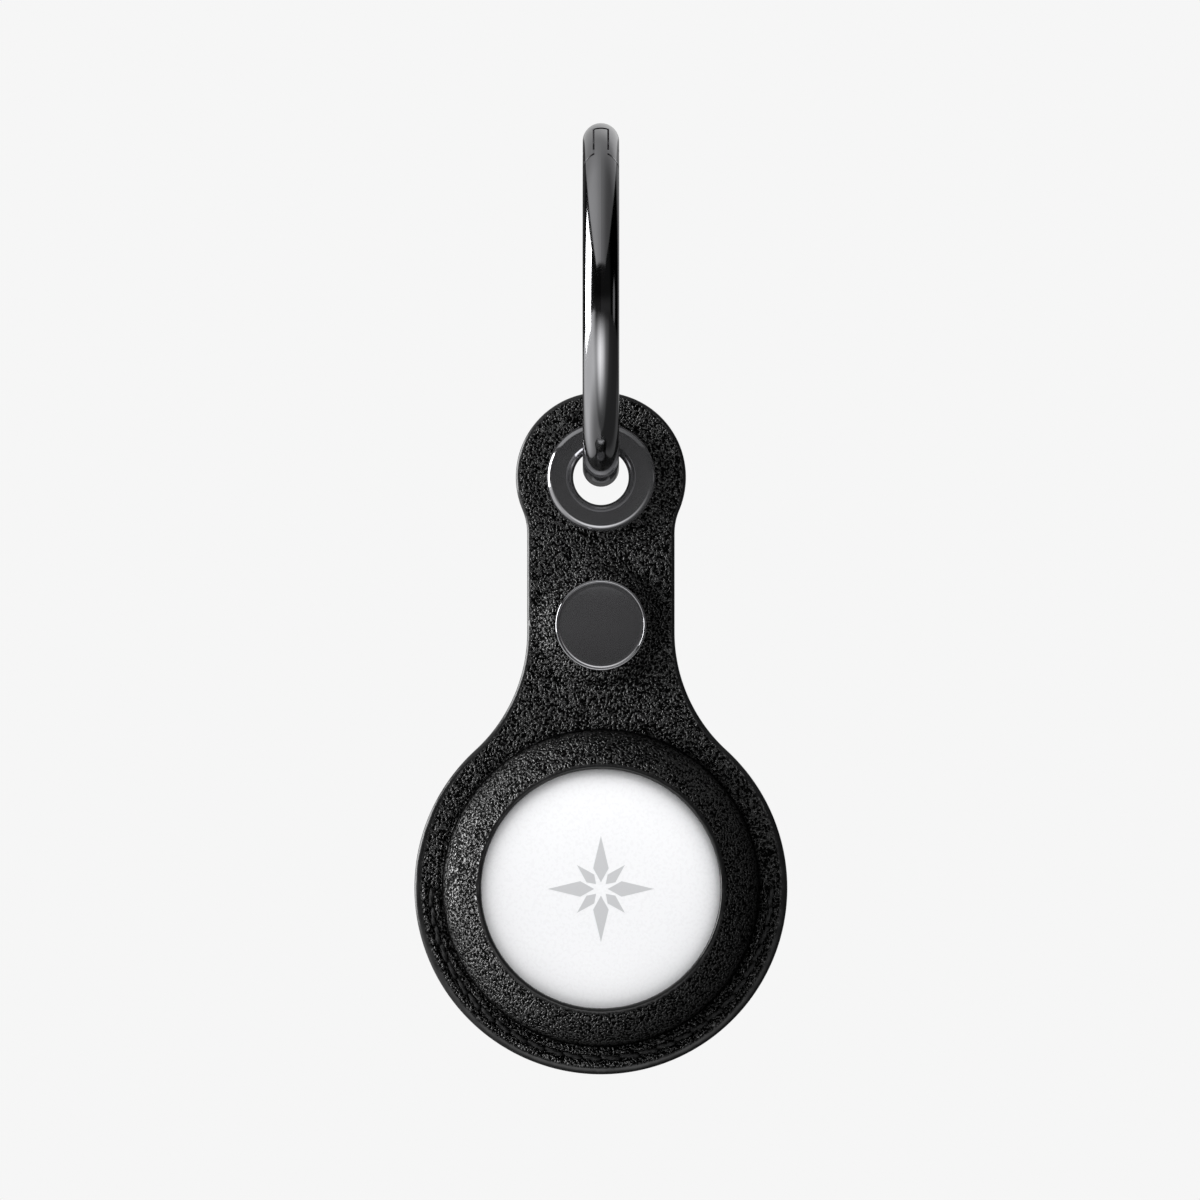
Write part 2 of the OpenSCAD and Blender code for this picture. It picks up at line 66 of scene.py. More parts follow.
HEAD_FILLET_X = STRAP_W + HEAD_FILLET
HEAD_FILLET_Z = HOLE_Z - math.sqrt((HEAD_R + HEAD_FILLET) ** 2 - HEAD_FILLET_X ** 2)
POUCH_FILLET_X = STRAP_W + POUCH_FILLET
POUCH_FILLET_Z = POUCH_Z + math.sqrt((POUCH_R + POUCH_FILLET) ** 2 - POUCH_FILLET_X ** 2)


# Materials. Noise scales count features in a metre, and bump depths are in metres.

def add(tree, kind, inputs=None, **settings):
    """Adds a node; an input that is a socket is linked, any other is a value."""
    made = tree.nodes.new(kind)
    for key, value in settings.items():
        setattr(made, key, value)
    for key, value in (inputs or {}).items():
        if isinstance(value, bpy.types.NodeSocket):
            tree.links.new(value, made.inputs[key])
        else:
            made.inputs[key].default_value = value
    return made


def math_node(operation, a, b=0.0, c=0.0):
    """The first value is a socket, here and below, and its tree gets the new node."""
    return add(a.id_data, "ShaderNodeMath", {0: a, 1: b, 2: c}, operation=operation).outputs[0]


def times(first, *others):
    for other in others:
        first = math_node("MULTIPLY", first, other)
    return first


def plus(first, *others):
    for other in others:
        first = math_node("ADD", first, other)
    return first


def spread(value, low, high, to_low, to_high):
    """Maps a value from one range to another, smoothly and clamped."""
    made = add(value.id_data, "ShaderNodeMapRange", {
        "Value": value, "From Min": low, "From Max": high, "To Min": to_low, "To Max": to_high,
    }, interpolation_type="SMOOTHSTEP")
    return made.outputs[0]


def mix_value(factor, a, b):
    return add(factor.id_data, "ShaderNodeMix", {"Factor": factor, 2: a, 3: b}, data_type="FLOAT").outputs[0]


def mix_colour(factor, a, b):
    """Mixes two colours, each of them three numbers or a socket."""
    a, b = (end if isinstance(end, bpy.types.NodeSocket) else (*end, 1) for end in (a, b))
    return add(factor.id_data, "ShaderNodeMix", {"Factor": factor, 6: a, 7: b}, data_type="RGBA").outputs[2]


def noise(place, scale, detail=2.0, rough=0.5):
    return add(place.id_data, "ShaderNodeTexNoise", {
        "Vector": place, "Scale": scale, "Detail": detail, "Roughness": rough,
    }).outputs["Fac"]


def bump(height, depth, strength):
    return add(height.id_data, "ShaderNodeBump", {
        "Height": height, "Distance": depth, "Strength": strength,
    }).outputs[0]


def start_material(name, **values):
    """A new material; an underscore in the name of a shader's input stands for a space."""
    made = bpy.data.materials.new(name)
    made.use_nodes = True
    tree = made.node_tree
    shader = tree.nodes["Principled BSDF"]
    for key, value in values.items():
        shader.inputs[key.replace("_", " ")].default_value = value
    place = tree.nodes.new("ShaderNodeTexCoord").outputs["Object"]
    return made, tree, shader, place


def feed(tree, shader, **sockets):
    """Links sockets to a shader's inputs, named as in start_material."""
    for key, socket in sockets.items():
        tree.links.new(socket, shader.inputs[key.replace("_", " ")])


def metal(name, low, high, rough_low, rough_high, marks=0.000002, bare=1.0):
    """A plated metal with faint uneven polish and handling marks; lacquer makes it less bare."""
    cloud_scale, mark_scale, mark_stretch = 150, 2700, (1, 7, 1)
    made, tree, shader, place = start_material(name, Metallic=bare)
    stretched = add(tree, "ShaderNodeMapping", {"Vector": place, "Scale": mark_stretch}).outputs[0]
    fine = noise(stretched, mark_scale, detail=4.0, rough=0.65)
    feed(tree, shader,
         Base_Color=mix_colour(noise(place, cloud_scale, detail=3.0), low, high),
         Roughness=spread(fine, 0.3, 0.7, rough_low, rough_high),
         Normal=bump(fine, marks, strength=0.5))
    return made


def moulded(name, low, high, rough_low, rough_high, **values):
    """A moulded plastic with a little orange peel."""
    cloud_scale, peel_scale, peel_depth = 140, 2800, 0.000004
    made, tree, shader, place = start_material(name, **values)
    fine = noise(place, peel_scale, detail=3.0)
    feed(tree, shader,
         Base_Color=mix_colour(noise(place, cloud_scale), low, high),
         Roughness=spread(fine, 0.3, 0.7, rough_low, rough_high),
         Normal=bump(fine, peel_depth, strength=0.4))
    return made


def leather():
    """Pebbled black leather; the attribute 'edge' is 1 on the smooth painted edges."""
    pebble_scale, pore_scale, wave_scale, paint_scale, depth = 3850, 7000, 1100, 500, 0.00013
    pore_share, wave_share = 0.12, 0.5
    # The creases get a darker colour than the crowns: painted shade in the grain's creases
    crease_shade, crown, paint = (0.0002, 0.0002, 0.0002), (0.0018, 0.0018, 0.0019), (0.006, 0.006, 0.0063)
    paint_rough, paint_shine = 0.28, 0.5
    made, tree, shader, place = start_material("black_leather", Specular_IOR_Level=0.5)
    edge = add(tree, "ShaderNodeAttribute", attribute_name="edge").outputs["Fac"]
    pebble = noise(place, pebble_scale, detail=1.0)
    top = spread(pebble, 0.4, 0.6, 0.0, 1.0)
    height = spread(pebble, 0.33, 0.67, 0.0, 1.0)
    height = math_node("MULTIPLY_ADD", noise(place, pore_scale), pore_share, height)
    height = math_node("MULTIPLY_ADD", noise(place, wave_scale), wave_share, height)
    height = mix_value(edge, height, noise(place, paint_scale, detail=1.0))
    # The open grain is duller where the hide is seen at a glancing angle, and its specular level drops in the
    # creases as painted shade
    facing = add(tree, "ShaderNodeLayerWeight", {"Blend": 0.5}).outputs["Facing"]
    rough = plus(spread(top, 0.0, 0.7, 0.5, 0.27), spread(facing, 0.5, 0.85, 0.0, 0.45))
    shine_and_crease_shade = times(spread(top, 0.0, 0.75, 0.03, 0.95), spread(facing, 0.5, 0.8, 1.0, 0.03))
    feed(tree, shader,
         Base_Color=mix_colour(edge, mix_colour(top, crease_shade, crown), paint),
         Roughness=mix_value(edge, rough, paint_rough),
         Specular_IOR_Level=mix_value(edge, shine_and_crease_shade, paint_shine),
         Normal=bump(height, depth, strength=1.0))
    return made


def microfibre():
    nap_scale, brushed_scale, nap_depth = 5200, 420, 0.00008
    dark, pale = (0.012, 0.012, 0.013), (0.028, 0.028, 0.03)
    made, tree, shader, place = start_material("lining", Sheen_Weight=0.4, Sheen_Roughness=0.5)
    nap = noise(place, nap_scale, detail=4.0, rough=0.7)
    feed(tree, shader,
         Base_Color=mix_colour(noise(place, brushed_scale), dark, pale),
         Roughness=spread(nap, 0.2, 0.8, 0.95, 0.8),
         Normal=bump(nap, nap_depth, strength=0.7))
    return made


def waxed_thread():
    fibre_scale, fibre_depth = 6500, 0.00002
    dark, pale = (0.004, 0.004, 0.0042), (0.012, 0.012, 0.0125)
    made, tree, shader, place = start_material("thread", Specular_IOR_Level=0.5)
    fibres = noise(place, fibre_scale, detail=3.0, rough=0.6)
    feed(tree, shader,
         Base_Color=mix_colour(fibres, dark, pale),
         Roughness=spread(fibres, 0.25, 0.75, 0.8, 0.6),
         Normal=bump(fibres, fibre_depth, strength=0.7))
    return made


SMOKE = (0.29, 0.29, 0.3), (0.35, 0.35, 0.36)
NICKEL = metal("black_nickel", *SMOKE, 0.08, 0.12, marks=0.000001)
LACQUERED = metal("lacquered_nickel", *SMOKE, 0.07, 0.11, marks=0.000001, bare=0.88)
STEEL = metal("steel", (0.42, 0.42, 0.44), (0.52, 0.52, 0.54), 0.2, 0.32)
COVER = metal("cover_steel", (0.55, 0.55, 0.57), (0.62, 0.62, 0.64), 0.16, 0.26)
BRASS = metal("brass", (0.5, 0.34, 0.12), (0.6, 0.42, 0.16), 0.22, 0.35)
COPPER = metal("copper", (0.5, 0.18, 0.07), (0.62, 0.25, 0.11), 0.3, 0.42)
LEATHER = leather()
LINING = microfibre()
THREAD = waxed_thread()
WHITE = moulded("white_shell", (0.92, 0.925, 0.935), (0.945, 0.95, 0.957), 0.24, 0.34,
                Coat_Weight=0.12, Coat_Roughness=0.08)
MARK = moulded("mark_grey", (0.57, 0.575, 0.585), (0.6, 0.605, 0.615), 0.35, 0.45)
SEAL = moulded("seal", (0.012, 0.012, 0.013), (0.02, 0.02, 0.022), 0.6, 0.75)
TRAY = moulded("inner_plastic", (0.72, 0.72, 0.7), (0.78, 0.78, 0.76), 0.42, 0.55)
BOARD = moulded("board", (0.02, 0.09, 0.04), (0.03, 0.12, 0.055), 0.35, 0.5)
CHIP = moulded("chip", (0.015, 0.015, 0.017), (0.025, 0.025, 0.028), 0.4, 0.55)

KEPT = {
    NICKEL: ["ring_body", "ring_gate", "gate_hinge_pin"],
    STEEL: ["gate_plunger", "gate_spring", "snap_socket", "snap_spring", "snap_stud",
            "tag_battery", "speaker_magnet"],
    COVER: ["tag_cover"], SEAL: ["cover_seal"], BRASS: ["battery_contacts"], TRAY: ["tag_carrier"],
    BOARD: ["tag_board"], CHIP: ["tag_chips"], COPPER: ["speaker_coil"],
}
for kept_material, kept_names in KEPT.items():
    for kept_name in kept_names:
        for place_of in nodes[kept_name].material_slots:
            place_of.material = kept_material


# Mesh helpers

TINY = 1e-6
SHARP_TURN = 40
# A rounding on a long side gets one more point, so that the flat beside it shades flat
LONG_SIDE, SUPPORT = 4, 1.7


def link_new(name, data):
    made = bpy.data.objects.new(name, data)
    bpy.context.scene.collection.objects.link(made)
    return made


def new_piece(name, verts, faces, material):
    """A piece from points in mm as [x, h, z], where h points to the front."""
    mesh = bpy.data.meshes.new(name)
    places = np.asarray(verts, float)
    mesh.from_pydata([(x * MM, -h * MM, z * MM) for x, h, z in places], [], [tuple(f) for f in faces])
    mesh.materials.append(material)
    mesh.polygons.foreach_set("use_smooth", [True] * len(mesh.polygons))
    return link_new(name, mesh)


def outwards(piece):
    """Winds a closed piece's faces outwards and marks its sharp edges."""
    work = bmesh.new()
    work.from_mesh(piece.data)
    bmesh.ops.recalc_face_normals(work, faces=work.faces)
    work.to_mesh(piece.data)
    work.free()
    piece.data.set_sharp_from_angle(angle=math.radians(SHARP_TURN))


def rounded(corners, steps=5):
    """A closed profile from rows of radius, height and the rounding of that corner."""
    out = []
    count = len(corners)
    for i, (x, y, r) in enumerate(corners):
        p = np.array([x, y], float)
        if r == 0:
            out.append(p)
            continue
        a = np.array(corners[i - 1][:2], float) - p
        b = np.array(corners[(i + 1) % count][:2], float) - p
        la, lb = np.linalg.norm(a), np.linalg.norm(b)
        a, b = a / la, b / lb
        half = math.acos(float(np.clip(a @ b, -1, 1))) / 2
        cut = r / math.tan(half)
        middle = p + (a + b) / np.linalg.norm(a + b) * r / math.sin(half)
        start, end = p + a * cut - middle, p + b * cut - middle
        a0 = math.atan2(start[1], start[0])
        turn = (math.atan2(end[1], end[0]) - a0 + math.pi) % (2 * math.pi) - math.pi
        if la > cut * LONG_SIDE:
            out.append(p + a * cut * SUPPORT)
        for k in range(steps + 1):
            angle = a0 + turn * k / steps
            out.append(middle + r * np.array([math.cos(angle), math.sin(angle)]))
        if lb > cut * LONG_SIDE:
            out.append(p + b * cut * SUPPORT)
    return out


def curve_through(points, steps=6):
    """A smooth curve through points, without its last point."""
    p = [np.array(q, float) for q in points]
    p = [2 * p[0] - p[1]] + p + [2 * p[-1] - p[-2]]
    out = []
    for i in range(1, len(p) - 2):
        for k in range(steps):
            t = k / steps
            out.append(0.5 * (2 * p[i] + (p[i + 1] - p[i - 1]) * t
                              + (2 * p[i - 1] - 5 * p[i] + 4 * p[i + 1] - p[i + 2]) * t * t
                              + (3 * p[i] - p[i - 1] - 3 * p[i + 1] + p[i + 2]) * t ** 3))
    return out


def lathe(name, z, profile, material, steps=192):
    """A round piece about the front-to-back line at z, from a closed profile of radius and height."""
    verts, rows, faces = [], [], []
    for r, h in profile:
        if r < TINY:
            rows.append([len(verts)] * steps)
            verts.append((0, h, z))
        else:
            rows.append(list(range(len(verts), len(verts) + steps)))
            for k in range(steps):
                a = 2 * math.pi * k / steps
                verts.append((r * math.cos(a), h, z + r * math.sin(a)))
    for i, row in enumerate(rows):
        after = rows[(i + 1) % len(rows)]
        if row[0] == row[1] and after[0] == after[1]:
            continue
        for k in range(steps):
            m = (k + 1) % steps
            quad = [row[k], row[m], after[m], after[k]]
            faces.append([v for n, v in enumerate(quad) if v not in quad[:n]])
    made = new_piece(name, verts, faces, material)
    outwards(made)
    return made


def finish_piece(piece, body, slot, *replaced):
    """Sets the body that a piece rides on and hides the CAD nodes that it replaces; the slot is not used."""
    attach(piece, body)
    if replaced:
        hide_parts(*replaced)
    return piece


def bulge(share):
    """The tag's rounding: 1 in the middle and 0 at the rim."""
    return np.maximum(1 - np.clip(share, 0, 1) ** TAG_POWER, 0) ** (1 / TAG_POWER)


def smooth(t):
    """A soft step from 0 to 1."""
    t = np.clip(t, 0, 1)
    return t * t * (3 - 2 * t)


def front_lens(r, grow):
    """Height before the seam of the lens's front, grown by some."""
    return TAG_WAIST + (TAG_FRONT + grow) * bulge(r / (TAG_R + grow))


def back_lens(r, grow):
    """Height behind the seam of the lens's back, counted backwards and grown by some."""
    return (TAG_BACK + grow) * bulge(r / (TAG_R + grow)) - TAG_WAIST


# The leather and its lining

INSETS = [0.03, 0.09, 0.18, 0.3, 0.45, 0.62, 0.85]
STRAP_STEPS = 32


def arc(x, z, r, start, end, count):
    a = np.radians(np.linspace(start, end, count, endpoint=False))
    return np.stack([x + r * np.cos(a), z + r * np.sin(a)], 1)


def outline(inset):
    """The holder's outline, counter-clockwise from the bottom, drawn in by an inset."""
    head_turn = math.degrees(math.atan2(HEAD_FILLET_Z - HOLE_Z, HEAD_FILLET_X))
    pouch_turn = math.degrees(math.atan2(POUCH_FILLET_Z - POUCH_Z, POUCH_FILLET_X))
    strap = np.linspace(POUCH_FILLET_Z, HEAD_FILLET_Z, STRAP_STEPS, endpoint=False)
    right = np.concatenate([
        arc(0, POUCH_Z, POUCH_R - inset, -90, pouch_turn, count=140),
        arc(POUCH_FILLET_X, POUCH_FILLET_Z, POUCH_FILLET + inset, 180 + pouch_turn, 180, count=42),
        np.stack([np.full(STRAP_STEPS, STRAP_W - inset), strap], 1),
        arc(HEAD_FILLET_X, HEAD_FILLET_Z, HEAD_FILLET + inset, 180, 180 + head_turn, count=9),
        arc(0, HOLE_Z, HEAD_R - inset, head_turn, 90, count=54),
    ])
    top = np.array([[0, HOLE_Z + HEAD_R - inset]])
    left = right[:0:-1] * [-1, 1]
    return np.concatenate([right, top, left])


OUTER = outline(0)


def away_from(points, z):
    """Distance of points from the holder's middle line at a height z."""
    return np.hypot(points[:, 0], points[:, 1] - z)


def edge_distance(points):
    """Distance from points to the outline, worked out for some of them at a time."""
    at_a_time = 2000
    a = OUTER
    b = np.roll(OUTER, -1, axis=0)
    d = b - a
    length = (d * d).sum(1)
    out = np.empty(len(points))
    for i in range(0, len(points), at_a_time):
        p = points[i:i + at_a_time, None, :]
        t = np.clip(((p - a) * d).sum(2) / length, 0, 1)
        near = a + t[..., None] * d - p
        out[i:i + at_a_time] = np.sqrt((near * near).sum(2).min(1))
    return out


def inside(points, loop):
    x, z = points[:, 0], points[:, 1]
    odd = np.zeros(len(points), bool)
    for (x0, z0), (x1, z1) in zip(loop, np.roll(loop, -1, axis=0)):
        if z0 != z1:
            odd ^= ((z0 > z) != (z1 > z)) & (x < (x1 - x0) * (z - z0) / (z1 - z0) + x0)
    return odd


# The dome's profile: window edge, superellipse and a small hollow fillet at its foot
FOOT_X, FOOT_ROUND, FOOT_STEPS = 17.47, 0.2, 6
FOOT_CREASE, FOOT_CREASE_W = 0.12, 0.2
WINDOW_STEPS = [0, 0.02, 0.06, 0.12, 0.2, 0.3, 0.42, 0.56, 0.72, 0.9]
DOME_RADII = [14.35, 14.7, 15.05, 15.4, 15.7, 16.0, 16.25, 16.5, 16.7, 16.88,
              17.02, 17.14, 17.24, 17.32, 17.38, 17.42, 17.45]


def dome_rows():
    """Rows of radius and height, from the window's edge to the dome's foot."""
    rows = []
    for step in WINDOW_STEPS:
        share = 1 - min(step / WINDOW_ROUND, 1)
        drop = WINDOW_ROUND * (1 - math.sqrt(1 - share ** 2))
        rows.append((WINDOW_R + step, front_lens(WINDOW_R + step, PANEL_T + TAG_GAP) - drop))
    rows += [(r, front_lens(r, PANEL_T + TAG_GAP)) for r in DOME_RADII]
    for k in range(FOOT_STEPS + 1):
        a = math.radians(90 * k / FOOT_STEPS)
        rows.append((FOOT_X + FOOT_ROUND * (1 - math.cos(a)), PANEL_T + FOOT_ROUND * (1 - math.sin(a))))
    return np.array(rows, float)


DOME = dome_rows()
STITCH_ROWS = [18.2, 18.32, 18.42, 18.52, 18.61, 18.7, 18.79, 18.88, 18.98, 19.08, 19.2, 19.34, 19.48]
BACK_ROWS = [3, 5, 7, 9, 10.5, 11.8, 12.9, 13.7, 14.3, 14.7, 15.0, 15.25, 15.5, 15.75, 16.0, 16.3,
             16.7, 17.2, 17.7]
BACK_SOFT = 0.5

# The waves' rise in mm, their turns in radians for each mm of x and z, and where they start
PRESSED_WAVES = [(0.022, 0.9, 0.35, 0.6), (0.018, 0.42, -0.77, 2.1), (0.012, 1.7, 1.3, 4.0),
                 (0.01, -1.1, 2.3, 0.0)]

# The seam runs round the lower half of the pouch, and its angles are in degrees
SEAM_START, SEAM_END, SEAM_FADE = 178, 362, 3
GROOVE_DEPTH, GROOVE_W = 0.2, 0.32
PUFF_RISE, PUFF_PINCH, PUFF_OUT, PUFF_IN, PUFF_W = 0.07, 0.09, 0.68, 0.62, 0.3
NEEDLE_DEPTH, NEEDLE_R = 0.45, 0.26


def unevenness(x, z):
    """Slow waves of a fraction of a tenth of a millimetre, as hand-pressed leather has."""
    return sum(rise * np.sin(by_x * x + by_z * z + start) for rise, by_x, by_z, start in PRESSED_WAVES)


def seam_shape(x, z, r):
    """The groove that the stitches pull into the rim, with the leather puffed beside it."""
    turn = (np.degrees(np.arctan2(z - POUCH_Z, x)) - 90) % 360 + 90
    fade = smooth((turn - SEAM_START) / SEAM_FADE) * smooth((SEAM_END - turn) / SEAM_FADE)
    pitch = 180 / STITCH_N
    phase = ((turn - 180) / pitch) % 1
    hole = np.minimum(phase, 1 - phase) * math.radians(pitch) * STITCH_R
    off = r - STITCH_R
    pinch = 0.5 + 0.5 * np.cos(2 * math.pi * (phase - 0.5))
    groove = -GROOVE_DEPTH * np.exp(-(off / GROOVE_W) ** 2)
    beside = np.exp(-((off - PUFF_OUT) / PUFF_W) ** 2) + np.exp(-((off + PUFF_IN) / PUFF_W) ** 2)
    puff = (PUFF_RISE + PUFF_PINCH * pinch) * beside
    dip = -NEEDLE_DEPTH * np.exp(-(hole ** 2 + off ** 2) / NEEDLE_R ** 2)
    return fade * (groove + puff + dip)


def seat_rise(points):
    """The leather rises round the snap's centre to a flat seat."""
    return SEAT_H * smooth((SEAT_FOOT_R - away_from(points, SNAP_Z)) / (SEAT_FOOT_R - SEAT_R))


def common_top(points, h):
    """What both leathers share: seat of the snap, seam, slow waves and rounded edges."""
    x, z = points.T
    h = h + seat_rise(points) + seam_shape(x, z, away_from(points, POUCH_Z)) + unevenness(x, z)
    share = np.clip(1 - edge_distance(points) / EDGE_ROUND, 0, 1)
    return h - EDGE_DROP * (1 - np.sqrt(1 - share ** 2))


def front_top(points):
    r = away_from(points, POUCH_Z)
    h = np.where(r < DOME[-1, 0], np.interp(r, DOME[:, 0], DOME[:, 1]), PANEL_T)
    h = h - EYELET_DIP * smooth((DIP_FOOT_R - away_from(points, HOLE_Z)) / (DIP_FOOT_R - DIP_R))
    h = h - FOOT_CREASE * np.exp(-((r - FOOT_X - FOOT_ROUND) / FOOT_CREASE_W) ** 2)
    return common_top(points, h)


def back_top(points):
    dome = back_lens(away_from(points, POUCH_Z), PANEL_T + TAG_GAP)
    meet = np.maximum(0, 1 - np.abs(dome - PANEL_T) / BACK_SOFT)
    return common_top(points, np.maximum(dome, PANEL_T) + BACK_SOFT / 4 * meet ** 2)


def under(points, level, grow, lens):
    """A hidden side: flat at a level, with the seat of the snap, and formed over the grown tag."""
    h = level + seat_rise(points)
    r = away_from(points, POUCH_Z)
    return np.where(r < TAG_R + grow, np.maximum(h, lens(r, grow)), h)


def triangles(loops, extra):
    """Triangles between the loops, through the extra points; the first loop is the outer one."""
    points = np.concatenate(loops + ([extra] if len(extra) else []))
    edges, start = [], 0
    for loop in loops:
        n = len(loop)
        edges += [(start + i, start + (i + 1) % n) for i in range(n)]
        start += n
    coords, _, faces, origins, _, _ = delaunay_2d_cdt(
        [Vector(p) for p in points], edges, [], 0, TINY, True)
    coords = np.array([tuple(c) for c in coords])
    faces = np.array([f for f in faces if len(f) == 3])
    middle = coords[faces].mean(1)
    keep = inside(middle, loops[0])
    for hole in loops[1:]:
        keep &= ~inside(middle, hole)
    faces = faces[keep]
    a, b, c = coords[faces[:, 0]], coords[faces[:, 1]], coords[faces[:, 2]]
    area = (b[:, 0] - a[:, 0]) * (c[:, 1] - a[:, 1]) - (b[:, 1] - a[:, 1]) * (c[:, 0] - a[:, 0])
    faces[area < 0] = faces[area < 0][:, ::-1]
    where = {}
    for i, sources in enumerate(origins):
        for source in sources:
            where[source] = i
    rings, start = [], 0
    for loop in loops:
        rings.append([where[start + i] for i in range(len(loop))])
        start += len(loop)
    return coords, faces, rings


BOTTOM_Z, TOP_Z = -85.0, -9.0


def hex_grid(step):
    """The corners of even triangles over the whole holder."""
    rows = np.arange(BOTTOM_Z, TOP_Z, step * math.sqrt(3) / 2)
    cols = np.arange(-POUCH_R, POUCH_R, step)
    return np.array([(x + (i % 2) * step / 2, z) for i, z in enumerate(rows) for x in cols])


def polar(radii, angles):
    a = np.radians(angles)
    return np.concatenate([np.stack([r * np.cos(a), POUCH_Z + r * np.sin(a)], 1) for r in radii])


def clear_of(points, others, gap):
    """The points that are at least a gap from all the others."""
    cells = {}
    for x, z in others:
        cells.setdefault((int(x // gap), int(z // gap)), []).append((x, z))
    out = []
    for x, z in points:
        i, j = int(x // gap), int(z // gap)
        near = [q for a in (-1, 0, 1) for b in (-1, 0, 1) for q in cells.get((i + a, j + b), ())]
        if all((x - q[0]) ** 2 + (z - q[1]) ** 2 > gap * gap for q in near):
            out.append((x, z))
    return np.array(out).reshape(-1, 2)


# Where the front is cut in two at the snap's centre, and the points along that cut
CUT_CLEAR, CUT_SLACK, CUT_START, CUT_STEPS, POST_STEPS = 0.1, 0.01, 1.2, 14, 16
LOOP_GAP = 0.018
PAINT_OVER, PAINT_FADE = 0.12, 0.2
SHOWN, UNDER, CUT = 0, 1, 2


def part_loop(inset, part, post_r):
    """The outer loop of a whole panel, or of the part of it above or below the snap's centre."""
    loop = outline(inset)
    if part == "whole":
        return loop
    half_w = STRAP_W - inset
    line = [half_w] + [half_w - d for d in INSETS]
    line += list(np.linspace(half_w - CUT_START, post_r, CUT_STEPS))
    right_line = np.stack([line, np.full(len(line), SNAP_Z)], 1)
    left_line = right_line * [-1, 1]
    if part == "upper":
        above = loop[loop[:, 1] > SNAP_Z + CUT_CLEAR]
        hole = arc(0, SNAP_Z, post_r, 180, 0, POST_STEPS)[1:]
        return np.concatenate([above, left_line, hole, right_line[::-1]])
    below = np.flatnonzero(loop[:, 1] < SNAP_Z - CUT_CLEAR)
    split = int(np.argmax(np.diff(below) > 1)) + 1
    hole = arc(0, SNAP_Z, post_r, 0, -180, POST_STEPS)[1:]
    return np.concatenate([loop[below[split:]], loop[below[:split]], right_line, hole, left_line[::-1]])


def on_cut(a, b, half_w, post_r):
    """Whether the stretch from a to b is near the cut and not on the strap's straight edge."""
    near = max(abs(a[1] - SNAP_Z), abs(b[1] - SNAP_Z)) < post_r + CUT_SLACK
    leaves = abs(abs(a[0]) - half_w) < TINY and abs(b[1] - SNAP_Z) > TINY
    return near and not leaves


def painted(points, part):
    """One on the smooth painted edges, nought on the open grain."""
    band = np.interp(points[:, 1], [POUCH_Z, SNAP_Z], [BAND_W, BAND_W_HEAD])
    mask = 1 - smooth((edge_distance(points) - band + PAINT_OVER) / PAINT_FADE)
    if part == "lower":
        from_window = away_from(points, POUCH_Z) - WINDOW_R
        mask = np.maximum(mask, 1 - smooth((from_window - WINDOW_ROUND) / PAINT_FADE))
    return mask


def sheet(name, part, inset, post_r, top_of, under_of, side, material, top_places, under_places, holes):
    """A closed sheet between two heights, with walls round its edges and its holes."""
    outer = part_loop(inset, part, post_r)
    loops = [outer] + holes

    def fitting(points):
        if not len(points):
            return points
        keep = inside(points, outer)
        for hole in holes:
            keep &= ~inside(points, hole)
        return clear_of(points[keep], np.concatenate(loops), LOOP_GAP)

    high, high_faces, high_rings = triangles(loops, fitting(top_places))
    low, low_faces, low_rings = triangles(loops, fitting(under_places))
    base = len(high)
    verts = np.concatenate([
        np.stack([high[:, 0], side * top_of(high), high[:, 1]], 1),
        np.stack([low[:, 0], side * under_of(low), low[:, 1]], 1),
    ])
    faces = [tuple(f) for f in high_faces]
    faces += [(base + f[0], base + f[2], base + f[1]) for f in low_faces]
    groups = [SHOWN] * len(high_faces) + [UNDER] * len(low_faces)
    for n, (above, below) in enumerate(zip(high_rings, low_rings)):
        for i, here in enumerate(above):
            j = (i + 1) % len(above)
            faces.append((here, base + below[i], base + below[j], above[j]))
            cut = part != "whole" and n == 0 and on_cut(high[here], high[above[j]], STRAP_W - inset, post_r)
            groups.append(CUT if cut else SHOWN)
    # Both sheets are wound inwards: wound outwards, their rims show specks of light in the render
    if side > 0:
        faces = [tuple(reversed(f)) for f in faces]
    made = new_piece(name, verts, faces, material)
    edge = made.data.attributes.new("edge", "FLOAT", "POINT")
    mask = np.concatenate([painted(high, part), np.ones(len(low))])
    edge.data.foreach_set("value", mask.astype(np.float32))
    return made, faces, groups


def face_normal(corners):
    """The normal of a face of three or four corners, as long as the face is large."""
    normal = np.cross(corners[1] - corners[0], corners[2] - corners[0])
    if len(corners) == 4:
        normal = normal + np.cross(corners[2] - corners[0], corners[3] - corners[0])
    return normal


def join_normals(all_places, all_totals):
    """Adds up the normals where the points of two sheets meet on the cut."""
    on_line, decimals = 1e-8, 3
    shared = {}
    for n, places in enumerate(all_places):
        for v in np.nonzero(np.abs(places[:, 2] - SNAP_Z * MM) < on_line)[0]:
            shared.setdefault(tuple(np.round(places[v] / MM, decimals)), []).append((n, v))
    for same in shared.values():
        for group in (SHOWN, UNDER):
            whole = sum(all_totals[n][group][v] for n, v in same)
            for n, v in same:
                all_totals[n][group][v] = whole


def set_normals(made_sheets):
    """Soft normals that run on across the cut between two sheets, with the cut itself flat."""
    all_places, all_own, all_totals = [], [], []
    for made, faces, groups in made_sheets:
        places = np.array([v.co for v in made.data.vertices])
        own = [face_normal(places[list(face)]) for face in faces]
        total = {SHOWN: np.zeros_like(places), UNDER: np.zeros_like(places)}
        for face, group, normal in zip(faces, groups, own):
            if group != CUT:
                total[group][list(face)] += normal
        all_places.append(places)
        all_own.append(own)
        all_totals.append(total)
    if len(made_sheets) == 2:
        join_normals(all_places, all_totals)
    for (made, faces, groups), own, total in zip(made_sheets, all_own, all_totals):
        corners = []
        for face, group, flat in zip(faces, groups, own):
            for v in face:
                normal = flat if group == CUT else total[group][v]
                length = np.linalg.norm(normal)
                corners.append(tuple(normal / length) if length > 0 else (0, 0, 0))
        made.data.normals_split_custom_set(corners)


